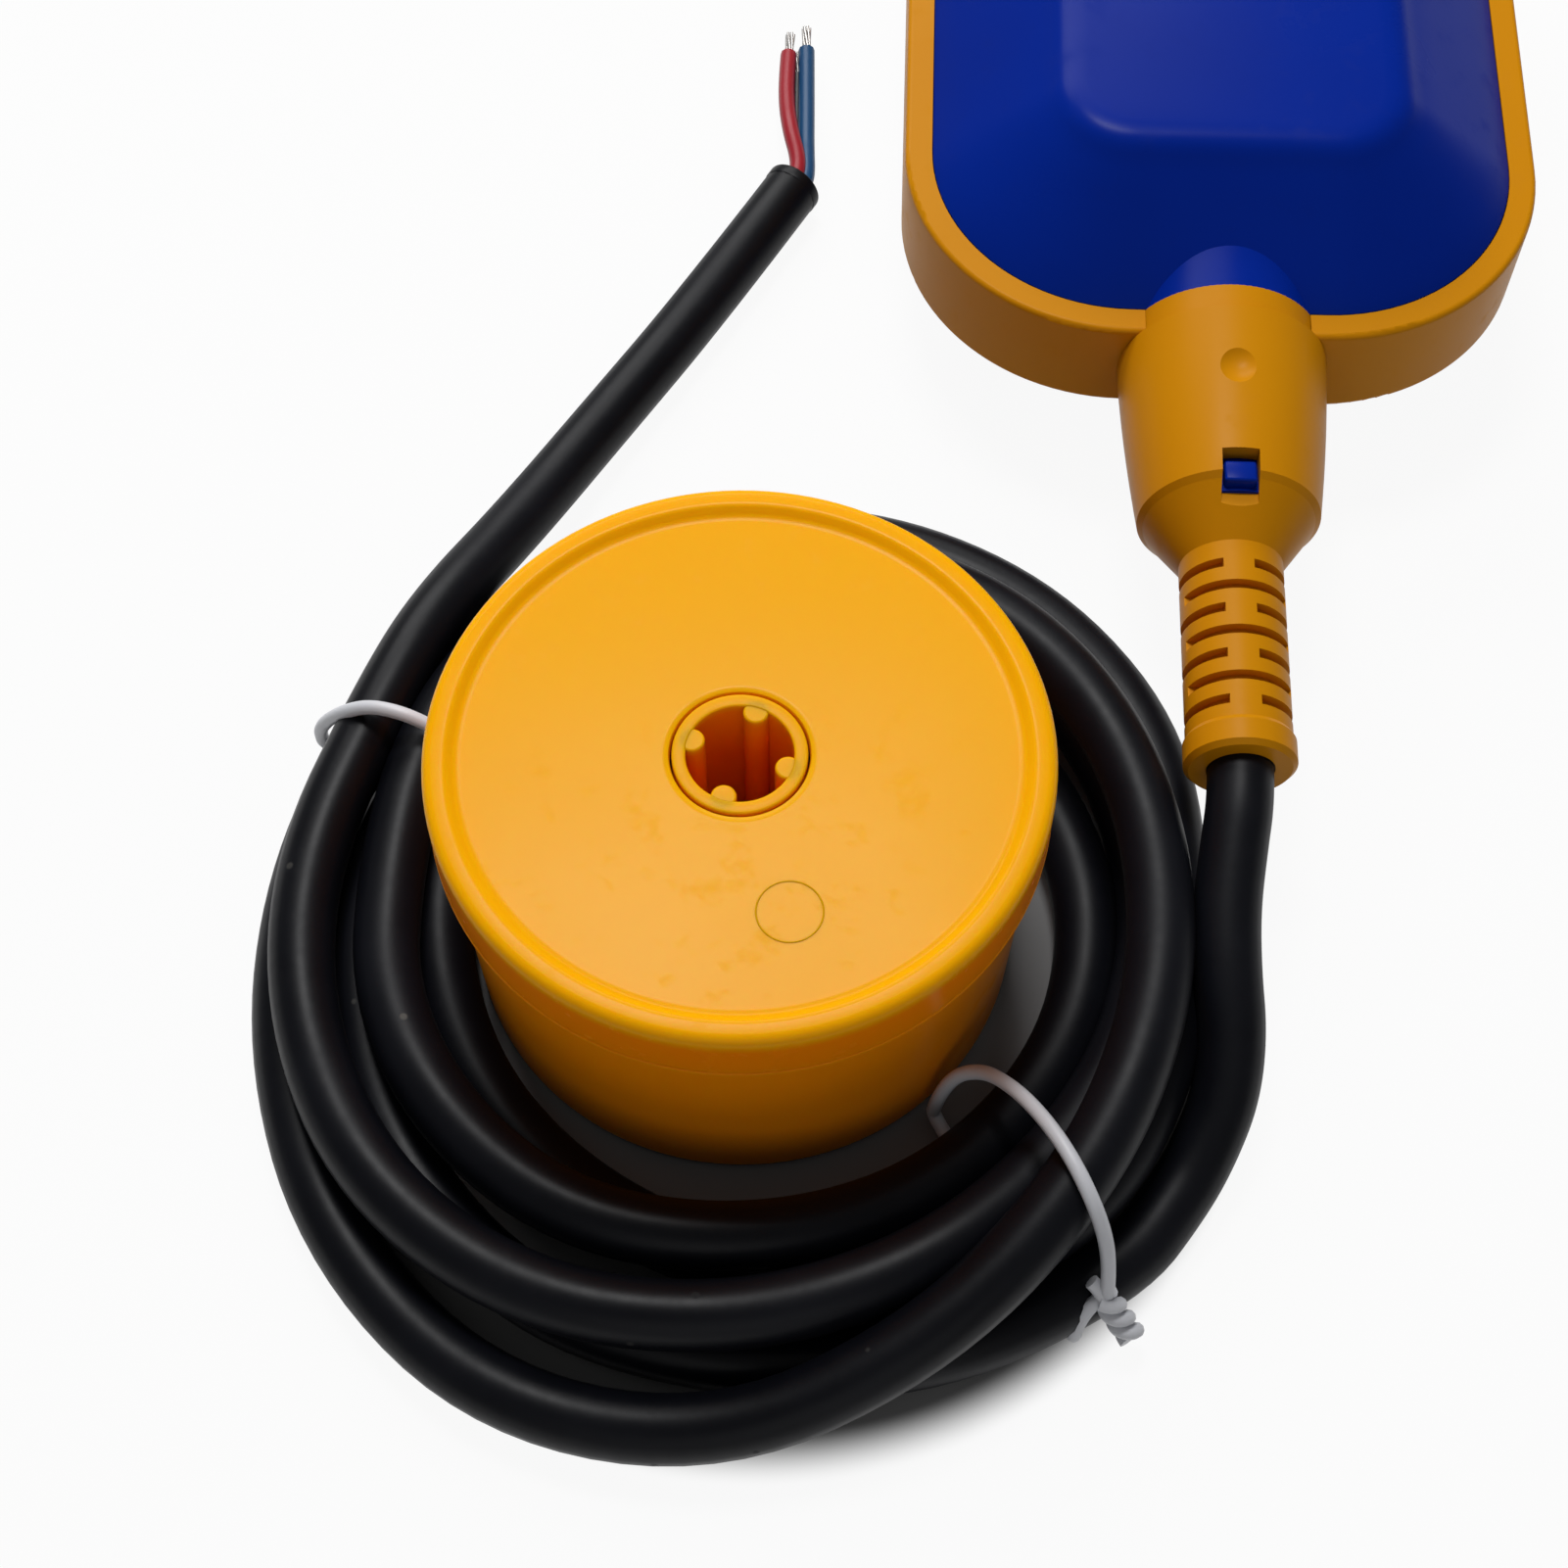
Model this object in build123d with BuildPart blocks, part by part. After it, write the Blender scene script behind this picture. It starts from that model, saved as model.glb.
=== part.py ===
from build123d import *
import os
from math import atan2, cos, degrees, radians, sin, tan

os.makedirs("parts", exist_ok=True)

# Sizes in millimetres. The float lies flat on the floor with its cable neck towards -Y.

# Float body
BODY_W = 80.0
BODY_L = 108.0
BODY_T = 41.0
BODY_CORNER_R = 28.0
SHELL_WALL = 2.2
EAVES_COVER = 1.3
SLOPE_RISE = 12.2
PAD_W = 44.0
PAD_EDGE_R = 7.0
PAD_STEP = 1.3
PAD_RIM_R = 0.6
FIT = 0.12
OVERRUN = 1.0

# Yellow frame round the body
BAND_H = 14.0
BAND_WALL = 2.0
BAND_LIP_W = 3.4
BAND_LIP_T = 1.6
BAND_EDGE_R = 0.7

# Neck of the body and the gland sleeve over it, measured outwards from the body's end
NECK_R = 9.0
NECK_L = 24.0
NECK_BORE_R = 7.0
NECK_ROOT_R = 12.2
NECK_ROOT_L = 12.0
SNAP_W = 3.8
SNAP_L = 2.8
SNAP_H = 1.4
SNAP_ROOT = 0.6
SLEEVE_BASE_R = 12.9
SLEEVE_MID_R = 12.4
SLEEVE_TIP_R = 11.0
SLEEVE_L = 23.5
SLEEVE_CONE_L = 6.0
SLEEVE_EDGE_R = 0.7
WINDOW_W = 4.4
WINDOW_LEAD = 1.2
RECESS_L = 4.0
RECESS_R = 8.4
DIMPLE_OUT = 9.0
DIMPLE_R = 4.0
DIMPLE_DEPTH = 0.8
RELIEF_R = 6.2
RELIEF_CORE_R = 4.95
RELIEF_L = 27.5
RELIEF_SLOTS = 7
RELIEF_PITCH = 3.07
RELIEF_SLOT_W = 1.25
RELIEF_BRIDGE_W = 3.6
COLLAR_R = 6.55
COLLAR_L = 3.8
COLLAR_EDGE = 0.6

# Cable, its seal and its clamp ring
CABLE_D = 7.7
CORE_D = 2.3
STRAND_D = 1.2
CORE_SPREAD = 1.45
CABLE_CLEAR = 0.1
GROMMET_IN = 4.0
GROMMET_L = 14.0
GROMMET_CHAMFER = 0.8
CABLE_END_INSIDE = 8.0

# Sealed chamber that holds the ball and the microswitch
CHAMBER_W = 48.0
CHAMBER_H = 22.4
CHAMBER_WALL = 2.0
CHAMBER_OFFSET = 15.0
CHAMBER_GAP = 0.4
PILLAR_R = 3.0
PILLAR_INSET = 4.4
POST_R = 3.5
POST_X = 14.0
POST_Y = 26.0
LID_SCREW_R = 1.1
LID_SCREW_L = 14.0
LID_HEAD_R = 2.3
LID_HEAD_H = 1.5
ENTRY_R = 5.0
LEAD_BEND_R = 5.5
LEAD_STRAIGHT = 4.0
LEAD_SPLIT = 3.0

# Steel ball and its raceway
BALL_R = 7.0
BALL_ROOM = 88.0
BALL_TRAVEL = BODY_L - BALL_ROOM
RACE_CLEAR = 0.3
RACE_WALL = 1.3
RACE_MOUTH_R = 6.6
BALL_GAP = 0.3
SADDLE_T = 2.0

# Microswitch, measured from the centre of its case
CASE_L = 27.8
CASE_W = 15.9
CASE_H = 10.3
CASE_WALL = 1.5
COVER_T = 1.5
CASE_EDGE_R = 1.0
CASE_FROM_WALL = 25.0
CASE_HOLE_INSET = 2.8
CASE_HOLE_X = CASE_L / 2 - CASE_HOLE_INSET
CASE_HOLE_Y = -4.6
CASE_HOLE_R = 1.55
CASE_PILLAR_R = 2.8
CASE_SCREW_R = 1.3
CASE_HEAD_R = 2.5
CASE_HEAD_H = 1.6
STRIP_T = 0.8
STRIP_W = 4.8
TAB_OUT = 7.5
RUN_CLEAR = 0.1
PIVOT_INSET = 6.4
PIVOT_X = PIVOT_INSET - CASE_L / 2
PIVOT_Y = 1.0
BLADE_T = 0.4
BLADE_W = 3.6
RIVET_R = 1.0
RIVET_H = 0.6
CONTACT_INSET = 6.9
CONTACT_X = CASE_L / 2 - CONTACT_INSET
BLADE_L = CONTACT_X + RIVET_R + RUN_CLEAR - PIVOT_X
OPEN_TAB_X = 0.6
CLOSED_TAB_OUT = 2.6
CLOSED_TAB_X = CASE_L / 2 + CLOSED_TAB_OUT
CLOSED_TAB_Y = -8.0
PLUNGER_FROM_PIVOT = 4.5
PLUNGER_X = PIVOT_X + PLUNGER_FROM_PIVOT
PLUNGER_R = 1.3
PLUNGER_FOOT_R = 0.5
PLUNGER_FOOT_L = 1.5
PLUNGER_TIP_R = 0.5
PLUNGER_TRAVEL = 0.7
LEVER_PIN_INSET = 2.4
LEVER_PIN_X = LEVER_PIN_INSET - CASE_L / 2
LEVER_PIN_OUT = 1.3
LEVER_PIN_R = 0.5
PIN_CLEAR = 0.05
LEVER_KNUCKLE_R = 1.1
LEVER_L = 24.0
LEVER_W = 4.6
LEVER_T = 0.5
LEVER_RISE = 0.2
EAR_T = 1.0
EAR_L = 3.0

# Counterweight
WEIGHT_R = 34.0
WEIGHT_H = 41.0
LID_H = 7.8
LID_WALL = 2.0
LID_RIM_W = 2.2
LID_RIM_H = 0.8
LID_EDGE_R = 1.4
SEAM_H = 0.7
SEAM_OUT = 0.15
CUP_TOP_R = 32.6
CUP_FOOT_R = 31.6
CUP_WALL = 2.0
CUP_EDGE_R = 1.5
SPIGOT_L = 3.0
SPIGOT_T = 1.6
TUBE_R = 7.3
TUBE_BORE_R = 5.8
TUBE_RIB_R = 1.0
TUBE_RIB_TURN = 12.0
TUBE_RIB_DROP = 0.6
LID_HOLE_CLEAR = 0.2
BALLAST_GAP = 0.3

# Coiled cable round the counterweight
COIL_R = 59.0
COIL_DX = 2.2
COIL_DY = -8.7
COIL_INNER_R = 34.9
COIL_UPPER_R = 53.0
COIL_UPPER_DX = -0.5
COIL_UPPER_DY = -9.0
COIL_LAYER_H = 7.7
COIL_BACK_LAYERS = 3.0
COIL_FRONT_LAYERS = 2.0
COIL_EDGE_R = 3.5
COIL_CLEAR = 0.6
TIE_D = 1.5
TIE_CORNER_R = 3.0
TIE_END_L = 6.0
TIE_END_DROP = 0.3
TIE_LEFT_TURN = 157.0
TIE_LEFT_OUT = 56.5
TIE_LEFT_TOP_OUT = 46.0
TIE_LEFT_TOP_Z = 21.6
TIE_RIGHT_TURN = -50.0
TIE_RIGHT_OUT = 67.6
TIE_RIGHT_TOP_OUT = 58.0
TIE_RIGHT_TOP_Z = 17.0
STRAND_L = 4.0

# Places. The origin is on the floor, midway over the float and the counterweight.
AXIS_GAP = 56.5
RELIEF_END_AHEAD = 11.0
SPAN_X = WEIGHT_R + AXIS_GAP + BODY_W / 2
SPAN_Y = WEIGHT_R + RELIEF_END_AHEAD + RELIEF_L + SLEEVE_CONE_L + SLEEVE_L + BODY_L
WEIGHT_X = WEIGHT_R - SPAN_X / 2
WEIGHT_Y = WEIGHT_R - SPAN_Y / 2
FLOAT_X = WEIGHT_X + AXIS_GAP
RELIEF_END_Y = WEIGHT_Y + RELIEF_END_AHEAD
END_Y = RELIEF_END_Y + RELIEF_L + SLEEVE_CONE_L + SLEEVE_L
BODY_Y = END_Y + BODY_L / 2
MID_Z = BODY_T / 2
CHAMBER_Y = END_Y + CHAMBER_OFFSET
SWITCH_Y = CHAMBER_Y + CHAMBER_WALL + CASE_FROM_WALL
LEVER_PIN_Y = SWITCH_Y + CASE_W / 2 + LEVER_PIN_OUT
LEVER_ANGLE = degrees(atan2(PLUNGER_TRAVEL, PLUNGER_X - LEVER_PIN_X))
LEVER_FACE_OUT = LEVER_RISE + LEVER_T - LEVER_PIN_X * tan(radians(LEVER_ANGLE))
BALL_NEAR_Y = LEVER_PIN_Y + LEVER_FACE_OUT + BALL_GAP + BALL_R
BALL_FAR_Y = BALL_NEAR_Y + BALL_TRAVEL
RACE_LIP_Y = BALL_NEAR_Y - (BALL_R**2 - RACE_MOUTH_R**2) ** 0.5 - RACE_CLEAR
RACE_END_Y = BALL_FAR_Y + BALL_R + RACE_CLEAR
CHAMBER_L = RACE_END_Y + RACE_WALL + CHAMBER_GAP + CHAMBER_WALL - CHAMBER_Y
CHAMBER_MID_Y = CHAMBER_Y + CHAMBER_L / 2

neck_axis = Axis((FLOAT_X, END_Y, MID_Z), (0, -1, 0))
neck_plane = Plane(origin=(FLOAT_X, END_Y, MID_Z), x_dir=(0, -1, 0), z_dir=(1, 0, 0))
weight_axis = Axis((WEIGHT_X, WEIGHT_Y, 0), (0, 0, 1))
weight_plane = Plane(origin=(WEIGHT_X, WEIGHT_Y, 0), x_dir=(1, 0, 0), z_dir=(0, -1, 0))


def across_neck(out):
    """A plane across the neck, at a distance outwards from the body's end."""
    return Plane(origin=(FLOAT_X, END_Y - out, MID_Z), x_dir=(1, 0, 0), z_dir=(0, -1, 0))


def outline(inset, height):
    """The body's plan outline, set in from its edge, on a plane at a height over its middle."""
    with BuildSketch(Plane.XY.offset(MID_Z + height)) as plan:
        with Locations((FLOAT_X, BODY_Y)):
            RectangleRounded(BODY_W - 2 * inset, BODY_L - 2 * inset, BODY_CORNER_R - inset)
    return plan.sketch


def rims(piece, along, end):
    """Circular edges at one end of a piece (0 or -1) along an axis, smallest first."""
    return piece.edges().filter_by(GeomType.CIRCLE).group_by(along)[end].sort_by(SortBy.RADIUS)


def save(piece, name):
    """Name a finished piece and write its STEP file."""
    piece.part.label = name
    export_step(piece.part, "parts/" + name + ".step")


# The two blue shells, mirror halves of one roofed, hollow body with a round neck
FLANGE_INSET = BAND_WALL + FIT
WALL_INSET = BAND_LIP_W + FIT
PAD_INSET = (BODY_W - PAD_W) / 2
FLANGE_H = BAND_H / 2 - BAND_LIP_T - FIT
PAD_H = BODY_T / 2
EAVES_H = BAND_H / 2
RIDGE_H = EAVES_H + SLOPE_RISE
SLOPE_STEPS = ((0.0, 0.0), (0.45, 0.28), (0.82, 0.62), (1.0, 1.0))
POST_SPOTS = [(FLOAT_X + x, CHAMBER_MID_Y + y) for x in (-POST_X, POST_X) for y in (-POST_Y, POST_Y)]


def roof(side, wall, cover):
    """Plan sections of the sloping roof, from eaves to ridge, set in by a wall and down by its cover."""
    sections = []
    for up, inwards in SLOPE_STEPS:
        inset = WALL_INSET + wall + inwards * (PAD_INSET - WALL_INSET)
        sections.append(outline(inset, side * (EAVES_H - cover + up * SLOPE_RISE)))
    return sections


def float_shell(side):
    """One shell: side is 1 for the upper one and -1 for the lower one."""
    with BuildPart() as shell:
        add(outline(FLANGE_INSET, 0))
        extrude(amount=side * FLANGE_H)
        add(outline(WALL_INSET, 0))
        extrude(amount=side * EAVES_H)
        loft(sections=roof(side, 0.0, 0.0))
        with BuildSketch(Plane.XY.offset(MID_Z + side * (RIDGE_H - PAD_STEP))):
            with Locations((FLOAT_X, BODY_Y)):
                RectangleRounded(PAD_W, BODY_L - 2 * PAD_INSET, PAD_EDGE_R)
        extrude(amount=side * (PAD_H - RIDGE_H + PAD_STEP))
        fillet(shell.faces().sort_by(Axis.Z)[-1 if side > 0 else 0].edges(), PAD_RIM_R)
        with BuildSketch(across_neck(-NECK_ROOT_L - WALL_INSET)):
            Circle(NECK_ROOT_R)
        extrude(amount=NECK_ROOT_L)
        with BuildSketch(across_neck(-WALL_INSET)):
            Circle(NECK_ROOT_R + FIT)
        extrude(amount=NECK_L, mode=Mode.SUBTRACT)
        add(outline(WALL_INSET + SHELL_WALL, 0))
        extrude(amount=side * (EAVES_H - EAVES_COVER), mode=Mode.SUBTRACT)
        loft(sections=roof(side, SHELL_WALL, EAVES_COVER), mode=Mode.SUBTRACT)
        with BuildSketch(across_neck(-NECK_ROOT_L - WALL_INSET)):
            Circle(NECK_ROOT_R - SHELL_WALL)
        extrude(amount=NECK_ROOT_L - SHELL_WALL, mode=Mode.SUBTRACT)
        with BuildSketch(across_neck(-WALL_INSET - SHELL_WALL)):
            Circle(NECK_R)
        extrude(amount=NECK_L + WALL_INSET + SHELL_WALL)
        with BuildSketch(across_neck(NECK_L - SNAP_L)):
            with Locations((0, side * (NECK_R + SNAP_H / 2 - SNAP_ROOT / 2))):
                Rectangle(SNAP_W, SNAP_H + SNAP_ROOT)
        extrude(amount=SNAP_L)
        with BuildSketch(across_neck(-NECK_ROOT_L)):
            Circle(CABLE_D / 2 + CABLE_CLEAR)
        extrude(amount=NECK_ROOT_L + NECK_L, mode=Mode.SUBTRACT)
        with BuildSketch(across_neck(GROMMET_IN)):
            Circle(NECK_BORE_R)
        extrude(amount=NECK_L, mode=Mode.SUBTRACT)
        with BuildSketch(Plane.XY.offset(MID_Z + side * CHAMBER_H / 2)):
            with Locations(*POST_SPOTS):
                Circle(POST_R)
        extrude(amount=side * (RIDGE_H - CHAMBER_H / 2))
        split(bisect_by=Plane.XY.offset(MID_Z), keep=Keep.TOP if side > 0 else Keep.BOTTOM)
    return shell


upper_shell = float_shell(1)
save(upper_shell, "upper_shell")
lower_shell = float_shell(-1)
save(lower_shell, "lower_shell")

# Frame: an open ring with lips over the shells' flanges, closed by the gland sleeve
with BuildPart() as frame_band:
    add(outline(0, -BAND_H / 2))
    extrude(amount=BAND_H)
    fillet(frame_band.edges().group_by(Axis.Z)[-1] + frame_band.edges().group_by(Axis.Z)[0], BAND_EDGE_R)
    add(outline(BAND_LIP_W, -BAND_H / 2))
    extrude(amount=BAND_H, mode=Mode.SUBTRACT)
    add(outline(BAND_WALL, -BAND_H / 2 + BAND_LIP_T))
    extrude(amount=BAND_H - 2 * BAND_LIP_T, mode=Mode.SUBTRACT)
    with BuildSketch(across_neck(-BAND_LIP_W - OVERRUN)):
        Circle(NECK_ROOT_R + FIT)
    extrude(amount=BAND_LIP_W + 2 * OVERRUN, mode=Mode.SUBTRACT)
save(frame_band, "frame_band")

# Gland sleeve: taper, shoulder cone, ribbed strain relief and end collar in one moulding
SHOULDER = NECK_L + FIT
CONE_END = SLEEVE_L + SLEEVE_CONE_L
SLEEVE_END = CONE_END + RELIEF_L
with BuildPart() as gland_sleeve:
    with BuildSketch(neck_plane):
        with BuildLine():
            Polyline(
                (-WALL_INSET, NECK_R + FIT),
                (-WALL_INSET, NECK_ROOT_R),
                (FIT, NECK_ROOT_R),
                (FIT, SLEEVE_BASE_R),
            )
            Spline(
                (FIT, SLEEVE_BASE_R),
                (DIMPLE_OUT, SLEEVE_MID_R),
                (SLEEVE_L - SLEEVE_EDGE_R, SLEEVE_TIP_R),
            )
            Polyline(
                (SLEEVE_L - SLEEVE_EDGE_R, SLEEVE_TIP_R),
                (SLEEVE_L, SLEEVE_TIP_R - SLEEVE_EDGE_R),
                (CONE_END, RELIEF_R),
                (SLEEVE_END - COLLAR_L, RELIEF_R),
                (SLEEVE_END - COLLAR_L + COLLAR_EDGE, COLLAR_R),
                (SLEEVE_END - COLLAR_EDGE, COLLAR_R),
                (SLEEVE_END, COLLAR_R - COLLAR_EDGE),
                (SLEEVE_END, CABLE_D / 2 + CABLE_CLEAR),
                (SHOULDER, CABLE_D / 2 + CABLE_CLEAR),
                (SHOULDER, NECK_R + FIT),
                (-WALL_INSET, NECK_R + FIT),
            )
        make_face()
    revolve(axis=neck_axis)
    for slot in range(RELIEF_SLOTS):
        slot_out = CONE_END + RELIEF_PITCH * (slot + 1) - RELIEF_SLOT_W / 2
        with BuildSketch(across_neck(slot_out)):
            Circle(COLLAR_R + OVERRUN)
            Circle(RELIEF_CORE_R, mode=Mode.SUBTRACT)
            if slot % 2 == 0:
                Rectangle(RELIEF_BRIDGE_W, 3 * RELIEF_R, mode=Mode.SUBTRACT)
            else:
                Rectangle(3 * RELIEF_R, RELIEF_BRIDGE_W, mode=Mode.SUBTRACT)
        extrude(amount=RELIEF_SLOT_W, mode=Mode.SUBTRACT)
    with BuildSketch(across_neck(NECK_L - SNAP_L - WINDOW_LEAD)):
        Rectangle(WINDOW_W, 4 * NECK_R)
        Rectangle(WINDOW_W, 2 * RECESS_R, mode=Mode.SUBTRACT)
    extrude(amount=SNAP_L + WINDOW_LEAD + FIT + RECESS_L, mode=Mode.SUBTRACT)
    with Locations(*[(FLOAT_X, END_Y - DIMPLE_OUT, MID_Z + s * (SLEEVE_MID_R + DIMPLE_R - DIMPLE_DEPTH))
                     for s in (-1, 1)]):
        Sphere(DIMPLE_R, mode=Mode.SUBTRACT)
save(gland_sleeve, "gland_sleeve")

# Rubber seal round the cable, and the ring that the sleeve presses against it
with BuildPart() as neck_grommet:
    with BuildSketch(across_neck(GROMMET_IN)):
        Circle(NECK_BORE_R)
        Circle(CABLE_D / 2, mode=Mode.SUBTRACT)
    extrude(amount=GROMMET_L)
    chamfer(rims(neck_grommet, Axis.Y, 0)[-1], GROMMET_CHAMFER)
save(neck_grommet, "neck_grommet")

with BuildPart() as clamp_ring:
    with BuildSketch(across_neck(GROMMET_IN + GROMMET_L)):
        Circle(NECK_BORE_R - FIT)
        Circle(CABLE_D / 2 + CABLE_CLEAR, mode=Mode.SUBTRACT)
    extrude(amount=SHOULDER - GROMMET_IN - GROMMET_L)
save(clamp_ring, "clamp_ring")

# The cable's jacket inside the gland, from the collar to just inside the body
with BuildPart() as cable_inner:
    with BuildSketch(across_neck(SLEEVE_END)):
        Circle(CABLE_D / 2)
    extrude(amount=-SLEEVE_END - CABLE_END_INSIDE)
save(cable_inner, "cable_inner")

# Sealed chamber: a tray and a lid, joined by four screws
CASE_FLOOR_Z = MID_Z - CASE_H / 2
RACE_R = BALL_R + RACE_CLEAR
RACE_OUTER_R = RACE_R + RACE_WALL
CORNER_X = CHAMBER_W / 2 - PILLAR_INSET
CORNER_Y = CHAMBER_L / 2 - PILLAR_INSET
CORNER_SPOTS = [
    (FLOAT_X + x, CHAMBER_MID_Y + y) for x in (-CORNER_X, CORNER_X) for y in (-CORNER_Y, CORNER_Y)
]


def chamber_half(side):
    """The chamber's tray (side -1) or its lid (side 1), with saddles for the raceway."""
    with BuildPart() as half:
        with BuildSketch(Plane.XY.offset(MID_Z)):
            with Locations((FLOAT_X, CHAMBER_MID_Y)):
                RectangleRounded(CHAMBER_W, CHAMBER_L, PILLAR_R)
        extrude(amount=side * CHAMBER_H / 2)
        with BuildSketch(Plane.XY.offset(MID_Z)):
            with Locations((FLOAT_X, CHAMBER_MID_Y)):
                Rectangle(CHAMBER_W - 2 * CHAMBER_WALL, CHAMBER_L - 2 * CHAMBER_WALL)
        extrude(amount=side * (CHAMBER_H / 2 - CHAMBER_WALL), mode=Mode.SUBTRACT)
        with BuildSketch(Plane.XY.offset(MID_Z)):
            with Locations(*CORNER_SPOTS):
                Circle(PILLAR_R)
            with Locations((FLOAT_X, BALL_NEAR_Y), (FLOAT_X, BALL_FAR_Y)):
                Rectangle(CHAMBER_W - CHAMBER_WALL, SADDLE_T)
        extrude(amount=side * (CHAMBER_H / 2 - CHAMBER_WALL))
        with BuildSketch(Plane.XZ.offset(-RACE_LIP_Y)):
            with Locations((FLOAT_X, MID_Z)):
                Circle(RACE_OUTER_R)
        extrude(amount=RACE_LIP_Y - RACE_END_Y, mode=Mode.SUBTRACT)
        with BuildSketch(Plane.XZ.offset(-CHAMBER_Y)):
            with Locations((FLOAT_X, MID_Z)):
                Circle(ENTRY_R)
        extrude(amount=-CHAMBER_WALL, mode=Mode.SUBTRACT)
    return half


with BuildPart() as chamber_tray:
    add(chamber_half(-1).part)
    with BuildSketch(Plane.XY.offset(MID_Z - CHAMBER_H / 2 + CHAMBER_WALL)):
        with Locations(*[(FLOAT_X + s * CASE_HOLE_X, SWITCH_Y + CASE_HOLE_Y) for s in (-1, 1)]):
            Circle(CASE_PILLAR_R)
            Circle(CASE_SCREW_R, mode=Mode.SUBTRACT)
    extrude(amount=CHAMBER_H / 2 - CHAMBER_WALL - CASE_H / 2)
    with BuildSketch(Plane.XY.offset(MID_Z)):
        with Locations(*CORNER_SPOTS):
            Circle(LID_SCREW_R)
    extrude(amount=CHAMBER_H / 2 - LID_SCREW_L, mode=Mode.SUBTRACT)
save(chamber_tray, "chamber_tray")

with BuildPart() as chamber_lid:
    add(chamber_half(1).part)
    with BuildSketch(Plane.XY.offset(MID_Z)):
        with Locations(*CORNER_SPOTS):
            Circle(LID_SCREW_R + FIT)
    extrude(amount=CHAMBER_H / 2, mode=Mode.SUBTRACT)
save(chamber_lid, "chamber_lid")

with BuildPart() as chamber_screws:
    with BuildSketch(Plane.XY.offset(MID_Z + CHAMBER_H / 2)):
        with Locations(*CORNER_SPOTS):
            Circle(LID_SCREW_R)
    extrude(amount=-LID_SCREW_L)
    with BuildSketch(Plane.XY.offset(MID_Z + CHAMBER_H / 2)):
        with Locations(*CORNER_SPOTS):
            Circle(LID_HEAD_R)
    extrude(amount=LID_HEAD_H)
save(chamber_screws, "chamber_screws")

# Rubber bush where the three cores enter the chamber
CORE_SPOTS = [(CORE_SPREAD * cos(radians(a)), CORE_SPREAD * sin(radians(a))) for a in (210, 90, 330)]
with BuildPart() as core_bush:
    with BuildSketch(Plane.XZ.offset(-CHAMBER_Y)):
        with Locations((FLOAT_X, MID_Z)):
            Circle(ENTRY_R)
        with Locations(*[(FLOAT_X + x, MID_Z + z) for x, z in CORE_SPOTS]):
            Circle(CORE_D / 2, mode=Mode.SUBTRACT)
    extrude(amount=-CHAMBER_WALL)
save(core_bush, "core_bush")

# Steel ball at the far end of its raceway, and the raceway with its narrowed mouth
with BuildPart() as steel_ball:
    with Locations((FLOAT_X, BALL_FAR_Y, MID_Z)):
        Sphere(BALL_R)
save(steel_ball, "steel_ball")

with BuildPart() as ball_raceway:
    with BuildSketch(Plane.XZ.offset(-(RACE_LIP_Y - RACE_WALL))):
        with Locations((FLOAT_X, MID_Z)):
            Circle(RACE_OUTER_R)
    extrude(amount=-(RACE_END_Y + RACE_WALL - RACE_LIP_Y + RACE_WALL))
    with BuildSketch(Plane.XZ.offset(-RACE_LIP_Y)):
        with Locations((FLOAT_X, MID_Z)):
            Circle(RACE_R)
    extrude(amount=-(RACE_END_Y - RACE_LIP_Y), mode=Mode.SUBTRACT)
    with BuildSketch(Plane.XZ.offset(-(RACE_LIP_Y - RACE_WALL))):
        with Locations((FLOAT_X, MID_Z)):
            Circle(RACE_MOUTH_R)
    extrude(amount=-RACE_WALL, mode=Mode.SUBTRACT)
save(ball_raceway, "ball_raceway")

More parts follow.
